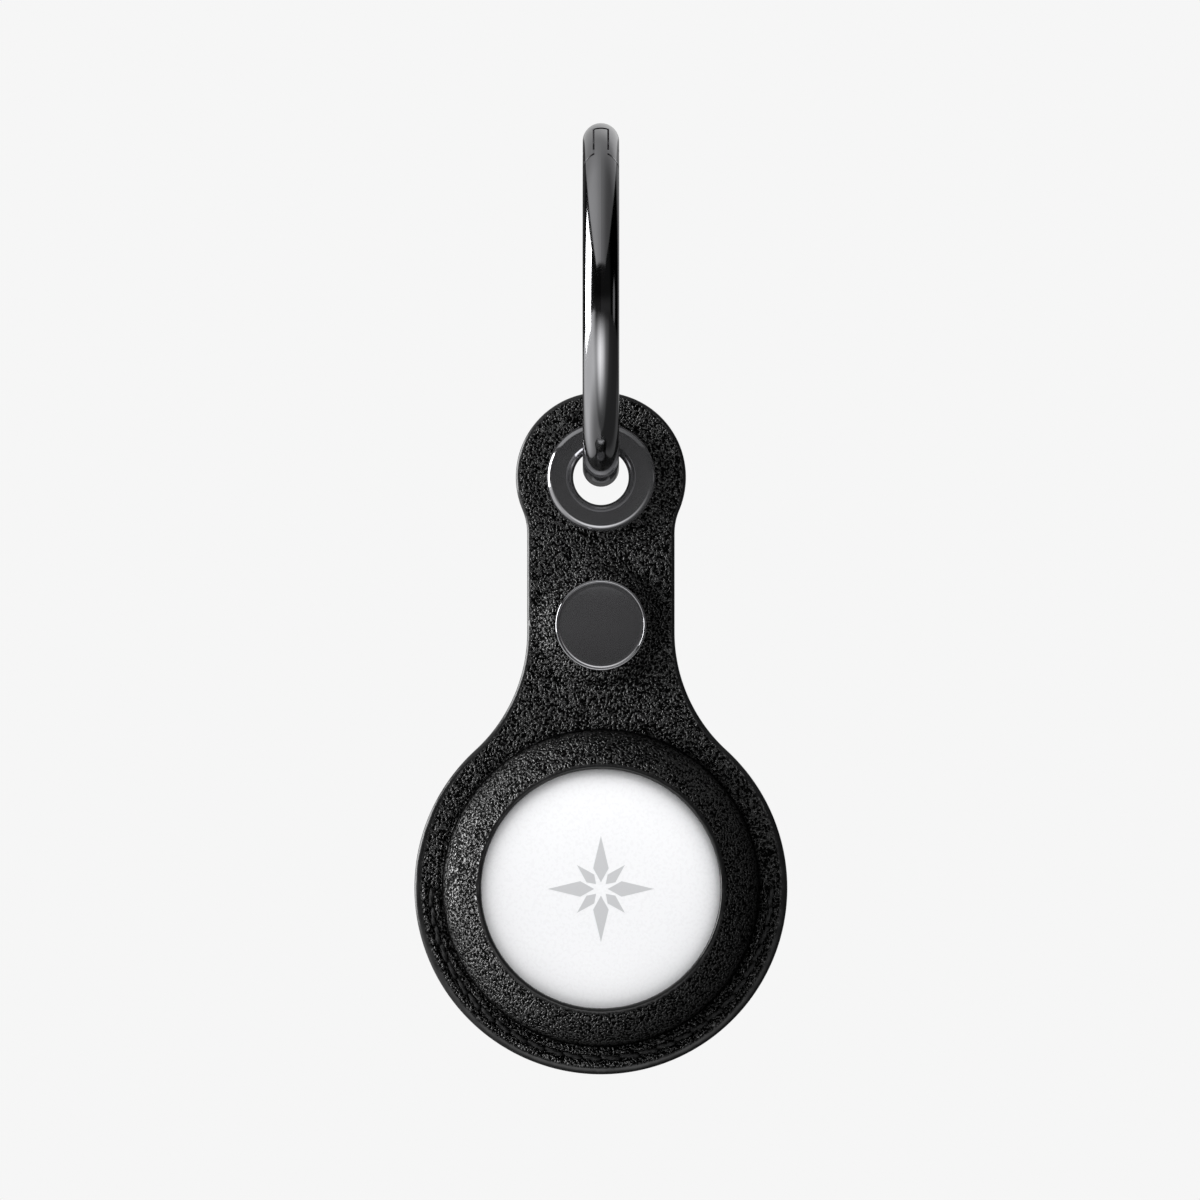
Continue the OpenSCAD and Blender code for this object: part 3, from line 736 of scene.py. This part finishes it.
FULL_TURN = np.arange(0, 360, 1.0)
SEAM_TURN = np.arange(176, 364.1, 0.5)
BACK_TURN, UNDER_TURN = np.arange(0, 360, 1.6), np.arange(0, 360, 2.5)
FOOT_ROWS = [17.8, 17.95, 18.12, 18.34]
SNAP_BAND = 0.25
BELOW, ABOVE, WHOLE = (BOTTOM_Z, SNAP_Z - SNAP_BAND), (SNAP_Z + SNAP_BAND, TOP_Z), (BOTTOM_Z, TOP_Z)
# The even grids: their steps, how far they stay from the edges, and where the dome's rings take over
TOP_STEP, TOP_INSET, TOP_FROM = 0.42, 1.08, 18.55
SEAM_FROM, SEAM_OVER = 18.1, 1.3
UNDER_STEP, UNDER_INSET, UNDER_GAP = 1.1, 0.9, 0.4


def between(points, low, high):
    return points[(points[:, 1] > low) & (points[:, 1] < high)]


def top_points(back, low, high):
    """Where the visible side of a leather has its points, between two heights z."""
    rings = polar(BACK_ROWS, BACK_TURN) if back else polar(DOME[1:, 0], FULL_TURN)
    rim = np.concatenate([polar(STITCH_ROWS, SEAM_TURN), polar(FOOT_ROWS, FULL_TURN)])
    edges = np.concatenate([outline(d) for d in INSETS])
    grid = hex_grid(TOP_STEP)
    r = away_from(grid, POUCH_Z)
    seam = (r > SEAM_FROM) & (grid[:, 1] < POUCH_Z + SEAM_OVER)
    grid = grid[(r > TOP_FROM) & ~seam]
    grid = grid[inside(grid, outline(TOP_INSET))]
    if not back:
        rings = rings[rings[:, 1] < SNAP_Z]
    centre = np.array([[0.0, POUCH_Z]]) if back else np.zeros((0, 2))
    return between(np.concatenate([rings, rim, edges, grid, centre]), low, high)


def under_points(radii, low, high):
    """Where a hidden side has its points, between two heights z."""
    grid = hex_grid(UNDER_STEP)
    grid = grid[away_from(grid, POUCH_Z) > max(radii) + UNDER_GAP]
    grid = grid[inside(grid, outline(UNDER_INSET))]
    return between(np.concatenate([polar(radii, UNDER_TURN), grid]), low, high)


def hole_loop(z, r, count):
    return arc(0, z, r, 0, 360, count)


UNDER_FRONT = [13.6, 14.1, 14.6, 15.1, 15.5, 15.8, 16.05, 16.2, 16.3, 16.36, 16.39, 16.42]
UNDER_BACK = [2, 5, 8, 10, 12, 13.2, 14.2, 14.8, 15.2, 15.6, 16.0, 16.4]
LINER_FRONT = [13.9, 14.4, 14.9, 15.3, 15.6, 15.85, 15.97, 16.05, 16.08, 16.12]
LINER_GAP = 0.01

window = hole_loop(POUCH_Z, WINDOW_R, count=360)
liner_window = hole_loop(POUCH_Z, WINDOW_R + LINING_BACK, count=180)
barrel_hole = hole_loop(HOLE_Z, BARREL_HOLE_R, count=72)
rivet_hole = hole_loop(SNAP_Z, RIVET_HOLE_R, count=24)


def hidden(lens, level, grow):
    return lambda points: under(points, level, grow, lens)


def leather_sheet(name, part, side, span, holes):
    """A leather panel, or the part of it between two heights z."""
    lens, top_of, post_r = (front_lens, front_top, CAP_POST_R) if side > 0 else (back_lens, back_top, 0)
    radii = UNDER_FRONT if side > 0 else UNDER_BACK
    return sheet(name, part, 0, post_r, top_of, hidden(lens, LINING_T, LINING_T + TAG_GAP), side, LEATHER,
                 top_points(side < 0, *span), under_points(radii, *span), holes)


def liner_sheet(name, part, side, span, holes):
    """The lining of a leather, drawn in at its edges and just clear of the leather."""
    lens, post_r = (front_lens, CAP_POST_R) if side > 0 else (back_lens, 0)
    outer, inner = (UNDER_FRONT, LINER_FRONT) if side > 0 else (UNDER_BACK, UNDER_BACK)
    top_of = hidden(lens, LINING_T - LINER_GAP, LINING_T + TAG_GAP - LINER_GAP)
    return sheet(name, part, LINING_BACK, post_r, top_of, hidden(lens, 0.0, TAG_GAP), side, LINING,
                 under_points(outer, *span), under_points(inner, *span), holes)


lower = leather_sheet("front_leather", "lower", 1, BELOW, [window])
upper = leather_sheet("front_leather_head", "upper", 1, ABOVE, [barrel_hole])
back = leather_sheet("back_leather", "whole", -1, WHOLE, [barrel_hole, rivet_hole])
liner_lower = liner_sheet("front_liner", "lower", 1, BELOW, [liner_window])
liner_upper = liner_sheet("front_liner_head", "upper", 1, ABOVE, [barrel_hole])
liner_back = liner_sheet("back_liner", "whole", -1, WHOLE, [barrel_hole, rivet_hole])
for group in ([lower, upper], [back], [liner_lower, liner_upper], [liner_back]):
    set_normals(group)

# The front's parts and their linings keep their places, and the CAD panels that they replace are hidden
UPPER_SPAN = ((0, 0, -0.025), (0, 0, -0.032))
LOWER_SPAN = ((0, 0, -0.046), (0, 0, -0.038))
for made, span, slot, replaced in (
    (lower[0], LOWER_SPAN, "black_leather", "front_panel"),
    (upper[0], UPPER_SPAN, "black_leather", "front_panel"),
    (liner_lower[0], LOWER_SPAN, "lining", "front_lining"),
    (liner_upper[0], UPPER_SPAN, "lining", "front_lining"),
):
    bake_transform(made)
    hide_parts(replaced)
finish_piece(back[0], "holder", "black_leather", "back_panel")
finish_piece(liner_back[0], "holder", "lining", "back_lining")


# The stitches: a twisted three-ply thread that dips into each hole

THREAD_SUNK, STITCH_DIP_H, STITCH_SLANT = 0.12, 0.32, 0.11
STITCH_STEPS, STITCH_FLAT, STITCH_HALF, STITCH_BEND = 26, 7, 0.44, 1.25
THREAD_SIDES, PLIES, PLY_DEPTH, TWIST_L = 18, 3, 0.14, 0.9


def stitch_path(side):
    """The middle of the thread, stitch after stitch, on the front or the back."""
    pitch = math.radians(180 / STITCH_N)
    rest_h = PANEL_T - GROOVE_DEPTH + THREAD_R - THREAD_SUNK
    out = []
    for i in range(STITCH_N):
        for k in range(STITCH_STEPS):
            u = 2 * (k + 0.5) / STITCH_STEPS - 1
            h = STITCH_DIP_H + (rest_h - STITCH_DIP_H) * (1 - abs(u) ** STITCH_FLAT) ** 0.5
            r = STITCH_R + STITCH_SLANT * math.sin(u * math.pi / 2)
            share = math.copysign(1 - (1 - abs(u)) ** STITCH_BEND, u)
            a = math.pi + pitch * (i + 0.5 + STITCH_HALF * share)
            out.append((r * math.cos(a), side * h, POUCH_Z + r * math.sin(a)))
    return np.array(out)


def unit_rows(rows):
    return rows / np.linalg.norm(rows, axis=1)[:, None]


def thread(name, side, replaced):
    path = stitch_path(side)
    along = unit_rows(np.gradient(path, axis=0))
    out = unit_rows((path - [0, 0, POUCH_Z]) * [1, 0, 1])
    up = unit_rows(np.cross(along, out))
    across = np.cross(up, along)
    travel = np.concatenate([[0], np.cumsum(np.linalg.norm(np.diff(path, axis=0), axis=1))])
    verts, faces = [], []
    for p, a, b, s in zip(path, across, up, travel):
        for k in range(THREAD_SIDES):
            angle = 2 * math.pi * k / THREAD_SIDES
            ply = math.cos(PLIES * angle - s * 2 * math.pi / TWIST_L)
            r = THREAD_R * (1 - PLY_DEPTH + PLY_DEPTH * ply)
            verts.append(p + r * (math.cos(angle) * a + math.sin(angle) * b))
    rings = [range(i, i + THREAD_SIDES) for i in range(0, len(verts), THREAD_SIDES)]
    for ring, after in zip(rings, rings[1:]):
        for k in range(THREAD_SIDES):
            m = (k + 1) % THREAD_SIDES
            faces.append((ring[k], ring[m], after[m], after[k]))
    faces.append(tuple(reversed(rings[0])))
    faces.append(tuple(rings[-1]))
    made = new_piece(name, verts, faces, THREAD)
    outwards(made)
    return finish_piece(made, "holder", "thread", replaced)


thread("front_stitches", 1, "needle_thread")
thread("back_stitches", -1, "bobbin_thread")


# Eyelet, washer, snap cap and rivet, each from a profile of radius and height

def ellipse(x, h, half_w, half_h, turns):
    """Points on an ellipse about a middle, at turns in degrees."""
    turns = [math.radians(turn) for turn in turns]
    return [(x + half_w * math.cos(turn), h + half_h * math.sin(turn)) for turn in turns]


def eyelet_profile():
    """From the flange's foot over its crown and lip, down the hole, to the end rolled at the back."""
    barrel_r, flange_r, flange_ease, flange_h = 3.45, 6.0, 0.02, PANEL_T - EYELET_DIP + 0.03
    crown_w, crown_rise, crown_h = 0.7, 0.8, 1.5
    top_h, hole_top, hole_low = crown_h + crown_rise, 0.6, -0.5
    foot = [(barrel_r, flange_h), (flange_r - flange_ease, flange_h), (flange_r, flange_h + flange_ease)]
    crown = ellipse(flange_r - crown_w, crown_h, crown_w, crown_rise, range(0, 91, 6))
    lip = rounded([
        (5.1, top_h, 0), (3.8, top_h, 0.1), (3.58, 2.13, 0.06), (3.5, 1.96, 0.04), (3.32, 1.92, 0.06),
        (EYELET_HOLE_R, 1.5, 0.25), (EYELET_HOLE_R, 0.7, 0),
    ], steps=8)[1:]
    hole = [(EYELET_HOLE_R, hole_top), (EYELET_HOLE_R, hole_low)]
    roll = curve_through([
        (EYELET_HOLE_R, -0.9), (3.12, -1.5), (3.3, -1.95), (3.62, -2.22), (3.95, -2.3), (4.25, -2.2),
        (4.45, -2.0),
    ], steps=5)
    return foot + crown + lip + hole + roll + [(4.5, -1.92), (barrel_r, -1.91)]


def washer_profile():
    hole_r, out_r, bevel, thick, front_h = 3.47, 6.0, 0.15, 0.45, -PANEL_T - 0.05
    return rounded([
        (hole_r, front_h, 0.05), (out_r, front_h, 0.1), (out_r - bevel, front_h - thick, 0.16),
        (hole_r, front_h - thick, 0.05),
    ])


def cap_profile():
    """A shallow dish inside a rounded rim, with the post that runs down through the leather."""
    cap_r, cap_t, base_h, post_r, post_h = 4.98, 0.95, PANEL_T + SEAT_H + 0.05, 1.5, SEAT_H - 0.25
    dish_deep, dish_rise, dish_r, rim_w, rim_h, ease = 0.2, 0.12, 4.6, 0.145, 0.12, 0.02
    top_h = base_h + cap_t
    dish = [(r, top_h - dish_deep + dish_rise * (r / dish_r) ** 2) for r in (0, 0.8, 1.6, 2.4, 3.2, 3.8, 4.2)]
    foot = [(r, top_h - deep) for r, deep in ((4.5, 0.083), (4.64, 0.1), (4.69, 0.12))]
    rim = ellipse(cap_r - rim_w, top_h - rim_h, rim_w, rim_h, range(165, -1, -15))
    post = rounded([
        (cap_r, top_h - rim_h - 0.01, 0), (cap_r, base_h, ease),
        (post_r, base_h, ease), (post_r, post_h, 0.05), (0, post_h, 0),
    ], steps=6)
    return dish + foot + rim + post


def rivet_profile():
    """A low round head, and the post that runs forwards through the back."""
    base_h, head_r, post_r, post_h = -SEAT_H - PANEL_T, 4.0, 1.0, 0.2
    rises = [(0, 0.5), (1.2, 0.49), (2.4, 0.46), (3.3, 0.38), (3.8, 0.24), (head_r, 0.06)]
    head = curve_through([(r, base_h - rise) for r, rise in rises])
    return head + rounded([
        (head_r, base_h, 0.03), (post_r, base_h, 0.05), (post_r, post_h, 0.08), (0, post_h, 0),
    ])


for name, z, profile, steps, body, replaced in (
    ("eyelet_shell", HOLE_Z, eyelet_profile(), 224, "eyelet", "eyelet"),
    ("eyelet_ring_back", HOLE_Z, washer_profile(), 192, "eyelet", "eyelet_washer"),
    ("snap_cap_face", SNAP_Z, cap_profile(), 224, "snap_front", "snap_cap"),
    ("rivet_head", SNAP_Z, rivet_profile(), 192, "holder", "snap_post"),
):
    finish_piece(lathe(name, z, profile, LACQUERED, steps), body, "black_nickel", replaced)


# The tag's shell and its plain generic mark

WALL, COVER_HOLE_R, LEDGE_H, LEDGE_EASE, BACK_EASE, BACK_EASE_TURN = 1.1, 12.7, 0.9, 0.02, 0.06, 0.6
STAR_RAYS, STAR_INNER, STAR_LONG, STAR_SHORT = 8, 0.75, (5.8, 0.85), (3.7, 0.6)
STAR_LIFT, STAR_SUNK, STAR_WIDEST, STAR_TIP, STAR_STEPS, STAR_CROSS = 0.018, -0.03, 0.3, 0.012, 20, 4


def lens_points(grow, start, end, side, count):
    """Points of radius and height on the lens's front or back, from one turn to another."""
    r = (TAG_R + grow) * np.sin(np.radians(np.linspace(start, end, count)))
    return list(zip(r, front_lens(r, grow) if side > 0 else -back_lens(r, grow)))


def shell_profile():
    """The outside from the face to the hole for the cover, then the ledge and the inside."""
    back_turn = math.degrees(math.asin(COVER_HOLE_R / TAG_R)) + BACK_EASE_TURN
    back_h = BACK_EASE - float(back_lens(COVER_HOLE_R, 0))
    sunk = ((TAG_WAIST - LEDGE_H) / (TAG_BACK - WALL)) ** TAG_POWER
    ledge_r = (TAG_R - WALL) * (1 - sunk) ** (1 / TAG_POWER)
    outside = lens_points(0, 0, 90, 1, 72) + lens_points(0, 90, back_turn, -1, 20)[1:]
    ledge = [(COVER_HOLE_R, back_h), (COVER_HOLE_R, LEDGE_H - LEDGE_EASE),
             (COVER_HOLE_R + LEDGE_EASE, LEDGE_H), (ledge_r, LEDGE_H)]
    return outside + ledge + lens_points(-WALL, 90, 0, 1, 40)


def star_ray(turn, outer, half_w):
    """One flat diamond of the compass star, laid on the dome."""
    verts, faces = [], []
    direction = np.array([math.cos(turn), math.sin(turn)])
    aside = np.array([-direction[1], direction[0]])
    for level in (STAR_LIFT, STAR_SUNK):
        for i in range(STAR_STEPS + 1):
            t = i / STAR_STEPS
            w = half_w * (t / STAR_WIDEST if t < STAR_WIDEST else (1 - t) / (1 - STAR_WIDEST))
            for k in range(STAR_CROSS + 1):
                across = max(w, STAR_TIP) * (2 * k / STAR_CROSS - 1)
                p = direction * (STAR_INNER + (outer - STAR_INNER) * t) + aside * across
                verts.append((p[0], float(front_lens(np.hypot(*p), 0)) + level, POUCH_Z + p[1]))
    row = STAR_CROSS + 1
    half = row * (STAR_STEPS + 1)
    for i in range(STAR_STEPS):
        for k in range(STAR_CROSS):
            a = i * row + k
            faces.append((a, a + 1, a + row + 1, a + row))
            faces.append((half + a, half + a + row, half + a + row + 1, half + a + 1))
        for k in (0, STAR_CROSS):
            a = i * row + k
            faces.append((a, a + row, half + a + row, half + a))
    for i in (0, STAR_STEPS):
        for k in range(STAR_CROSS):
            a = i * row + k
            faces.append((a, half + a, half + a + 1, a + 1))
    return verts, faces


def star():
    """The star's rays, long and short in turn, as one piece."""
    verts, faces = [], []
    for ray in range(STAR_RAYS):
        outer, half_w = STAR_SHORT if ray % 2 else STAR_LONG
        ray_verts, ray_faces = star_ray(math.radians(360 / STAR_RAYS * ray), outer, half_w)
        faces += [tuple(v + len(verts) for v in face) for face in ray_faces]
        verts += ray_verts
    made = new_piece("tag_mark", verts, faces, MARK)
    outwards(made)
    return made


finish_piece(lathe("tag_face", POUCH_Z, shell_profile(), WHITE, 240), "tag", "white_shell", "tag_shell")
finish_piece(star(), "tag", "white_shell")


# Ring: the CAD meshes with their edges eased

RING_EASE, RING_EASE_STEPS, RING_EASE_TURN = 0.035, 2, 35

for name in ("ring_body", "ring_gate"):
    ease = nodes[name].modifiers.new("ease", "BEVEL")
    ease.width = RING_EASE * MM
    ease.segments = RING_EASE_STEPS
    ease.limit_method = "ANGLE"
    ease.angle_limit = math.radians(RING_EASE_TURN)
    ease.harden_normals = True


# Plunger spring: a copy of the CAD coil, which rides on the gate


def world_points(node):
    return np.array([node.matrix_world @ v.co for v in node.data.vertices])


coil = nodes["gate_spring"]
coil_points = world_points(coil)
coil_middle = coil_points.mean(0)
coil_axis = coil_middle - world_points(nodes["gate_plunger"]).mean(0)
coil_axis /= np.linalg.norm(coil_axis)
spring_mesh = bpy.data.meshes.new("plunger_spring")
spring_mesh.from_pydata([tuple(p) for p in coil_points], [], [tuple(f.vertices) for f in coil.data.polygons])
spring_mesh.materials.append(STEEL)
spring = link_new("plunger_spring", spring_mesh)
outwards(spring)
finish_piece(spring, "gate", "steel", "gate_spring")
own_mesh(spring)


# Camera, lights, world and floor, in metres

SENSOR_W, FRAME_W, CAMERA_AWAY, CAMERA_X, CAMERA_Z = 36, 0.132, 1.6, -0.0001, -0.03245
LIGHT_TARGET = Vector((0, 0, -0.04))
PALE, FILL = (0.9216, 0.9216, 0.9216), (1.17, 1.17, 1.18)
FLOOR_Z, FLOOR_W = -0.2, 2.2

bpy.context.scene.view_settings.view_transform = "Standard"
camera = link_new("camera", bpy.data.cameras.new("camera"))
camera.data.sensor_width = SENSOR_W
camera.data.lens = SENSOR_W * CAMERA_AWAY / FRAME_W
camera.location = (CAMERA_X, -CAMERA_AWAY, CAMERA_Z)
camera.rotation_euler = (math.radians(90), 0, 0)
bpy.context.scene.camera = camera


def soft_light(name, place, width, height, power):
    data = bpy.data.lights.new(name, "AREA")
    data.shape = "RECTANGLE"
    data.size, data.size_y, data.energy = width, height, power
    light = link_new(name, data)
    light.location = place
    light.rotation_euler = (LIGHT_TARGET - Vector(place)).to_track_quat("-Z", "Y").to_euler()
    light.visible_camera = False
    return light


soft_light("left_box", (-1.0, -0.02, 0.06), width=0.82, height=0.84, power=24.0).visible_diffuse = False
soft_light("top_box", (0, -0.47, 0.84), width=1.0, height=1.5, power=5.6).visible_glossy = False


def room_level(right, back_way, up):
    """How bright the room is that the metal mirrors, by direction."""
    half_w, widening, soft_edge, least_up, farthest = 1.47, 0.13, 0.05, 0.01, 2.0
    cloth_left, cloth_right, cloth_back, strip_level = 0.72, 0.14, 0.42, 0.3
    # The overhead cloth: wide, from above the camera to the wall behind, and brighter on its left
    height_above = math_node("MAXIMUM", up, least_up)
    aside = math_node("DIVIDE", math_node("ABSOLUTE", right), height_above)
    along = math_node("DIVIDE", back_way, height_above)
    side = plus(times(math_node("MINIMUM", along, farthest), widening), half_w)
    past_side = math_node("SUBTRACT", aside, side)
    slope = mix_value(spread(back_way, 0.1, 0.75, 0.0, 1.0),
                      spread(right, -0.75, 0.7, cloth_left, cloth_right), cloth_back)
    overhead = times(spread(past_side, -soft_edge, soft_edge, 1.0, 0.0),
                     spread(along, -2.2, -2.0, 0.0, 1.0), spread(up, 0.02, 0.1, 0.0, 1.0), slope)
    # A dim strip on the right, the dim room in front and the wall behind
    strip = times(spread(right, 0.985, 0.995, 0.0, strip_level),
                  spread(up, -0.35, -0.3, 0.0, 1.0))
    room = times(spread(up, 0.1, -0.02, 0.01, 0.04), spread(back_way, -0.3, -0.6, 0.0, 1.0),
                 spread(right, -0.1, 0.1, 0.65, 1.35))
    wall = times(spread(back_way, 0.6, 0.85, 0.0, 1.0),
                 spread(right, -0.3, 0.2, 0.06, 0.25))
    return plus(overhead, strip, room, wall)


def set_world():
    """The metal mirrors the room, the fill lights the rest, and the camera sees a pale background."""
    world = bpy.data.worlds.new("world")
    bpy.context.scene.world = world
    world.use_nodes = True
    tree = world.node_tree
    tree.nodes.clear()
    way = add(tree, "ShaderNodeSeparateXYZ", {0: add(tree, "ShaderNodeTexCoord").outputs["Generated"]})
    level = room_level(*way.outputs)
    mirrored = add(tree, "ShaderNodeCombineColor", {0: level, 1: level, 2: level}).outputs[0]
    ray = add(tree, "ShaderNodeLightPath").outputs
    filled = mix_colour(ray["Is Diffuse Ray"], mirrored, FILL)
    seen = mix_colour(ray["Is Camera Ray"], filled, PALE)
    background = add(tree, "ShaderNodeBackground", {"Color": seen, "Strength": 1.0})
    add(tree, "ShaderNodeOutputWorld", {"Surface": background.outputs[0]})


def floor_light(x, y, away):
    """The light on the floor that the metal mirrors, by place."""
    pool_x, pool_narrow, pool_near, pool_short, pool_level = 0.05, 2.3, 3.1, 1.14, 2.3
    turn = math_node("DIVIDE", x, away)
    # A soft pool of light on the floor before the object and a dimmer one on its left
    off_x = times(plus(turn, pool_x), pool_narrow)
    off_y = times(math_node("LOGARITHM", times(away, pool_near), math.e), pool_short)
    off = plus(times(off_x, off_x), times(off_y, off_y))
    pool = times(math_node("EXPONENT", times(off, -1.0)),
                 spread(y, 0.0, -0.1, 0.0, pool_level))
    side_pool = times(spread(turn, -0.45, -0.85, 0.0, 1.0),
                      spread(away, 0.06, 0.3, 0.2, 1.0))
    room_light = times(spread(away, 0.9, 1.6, 0.08, 0.01),
                       spread(turn, 0.7, 0.85, 1.0, 0.05))
    return plus(pool, side_pool, room_light)


def floor_cloth():
    """A matt floor that keeps the object's shadow and looks dark, with pools of light, in the metal."""
    grey, mirrored_grey, lift, least_away = (0.4, 0.4, 0.4), (0.03, 0.03, 0.03), 0.36, 0.02
    made, tree, shader, place = start_material("floor", Roughness=0.9, Specular_IOR_Level=0.0,
                                               Emission_Color=(1, 1, 1, 1))
    ray = add(tree, "ShaderNodeLightPath").outputs
    x, y, _ = add(tree, "ShaderNodeSeparateXYZ", {0: place}).outputs
    square = plus(times(x, x), times(y, y))
    away = math_node("MAXIMUM", math_node("POWER", square, 0.5), least_away)
    in_metal = times(ray["Is Glossy Ray"], floor_light(x, y, away))
    feed(tree, shader,
         Base_Color=mix_colour(ray["Is Glossy Ray"], grey, mirrored_grey),
         Emission_Strength=plus(times(ray["Is Camera Ray"], lift), in_metal))
    # Far from the object the floor runs into the background without an edge
    far_off = times(ray["Is Camera Ray"], spread(away, 0.3, 0.75, 0.0, 1.0))
    pale = add(tree, "ShaderNodeEmission", {"Color": (*PALE, 1)})
    melted = add(tree, "ShaderNodeMixShader", {0: far_off, 1: shader.outputs[0], 2: pale.outputs[0]})
    tree.links.new(melted.outputs[0], tree.nodes["Material Output"].inputs["Surface"])
    return made


set_world()
floor_mesh = bpy.data.meshes.new("floor")
floor_corners = [(x * FLOOR_W, y * FLOOR_W, FLOOR_Z) for x, y in ((-1, -1), (1, -1), (1, 1), (-1, 1))]
floor_mesh.from_pydata(floor_corners, [], [(0, 1, 2, 3)])
floor_mesh.materials.append(floor_cloth())
floor = link_new("floor", floor_mesh)
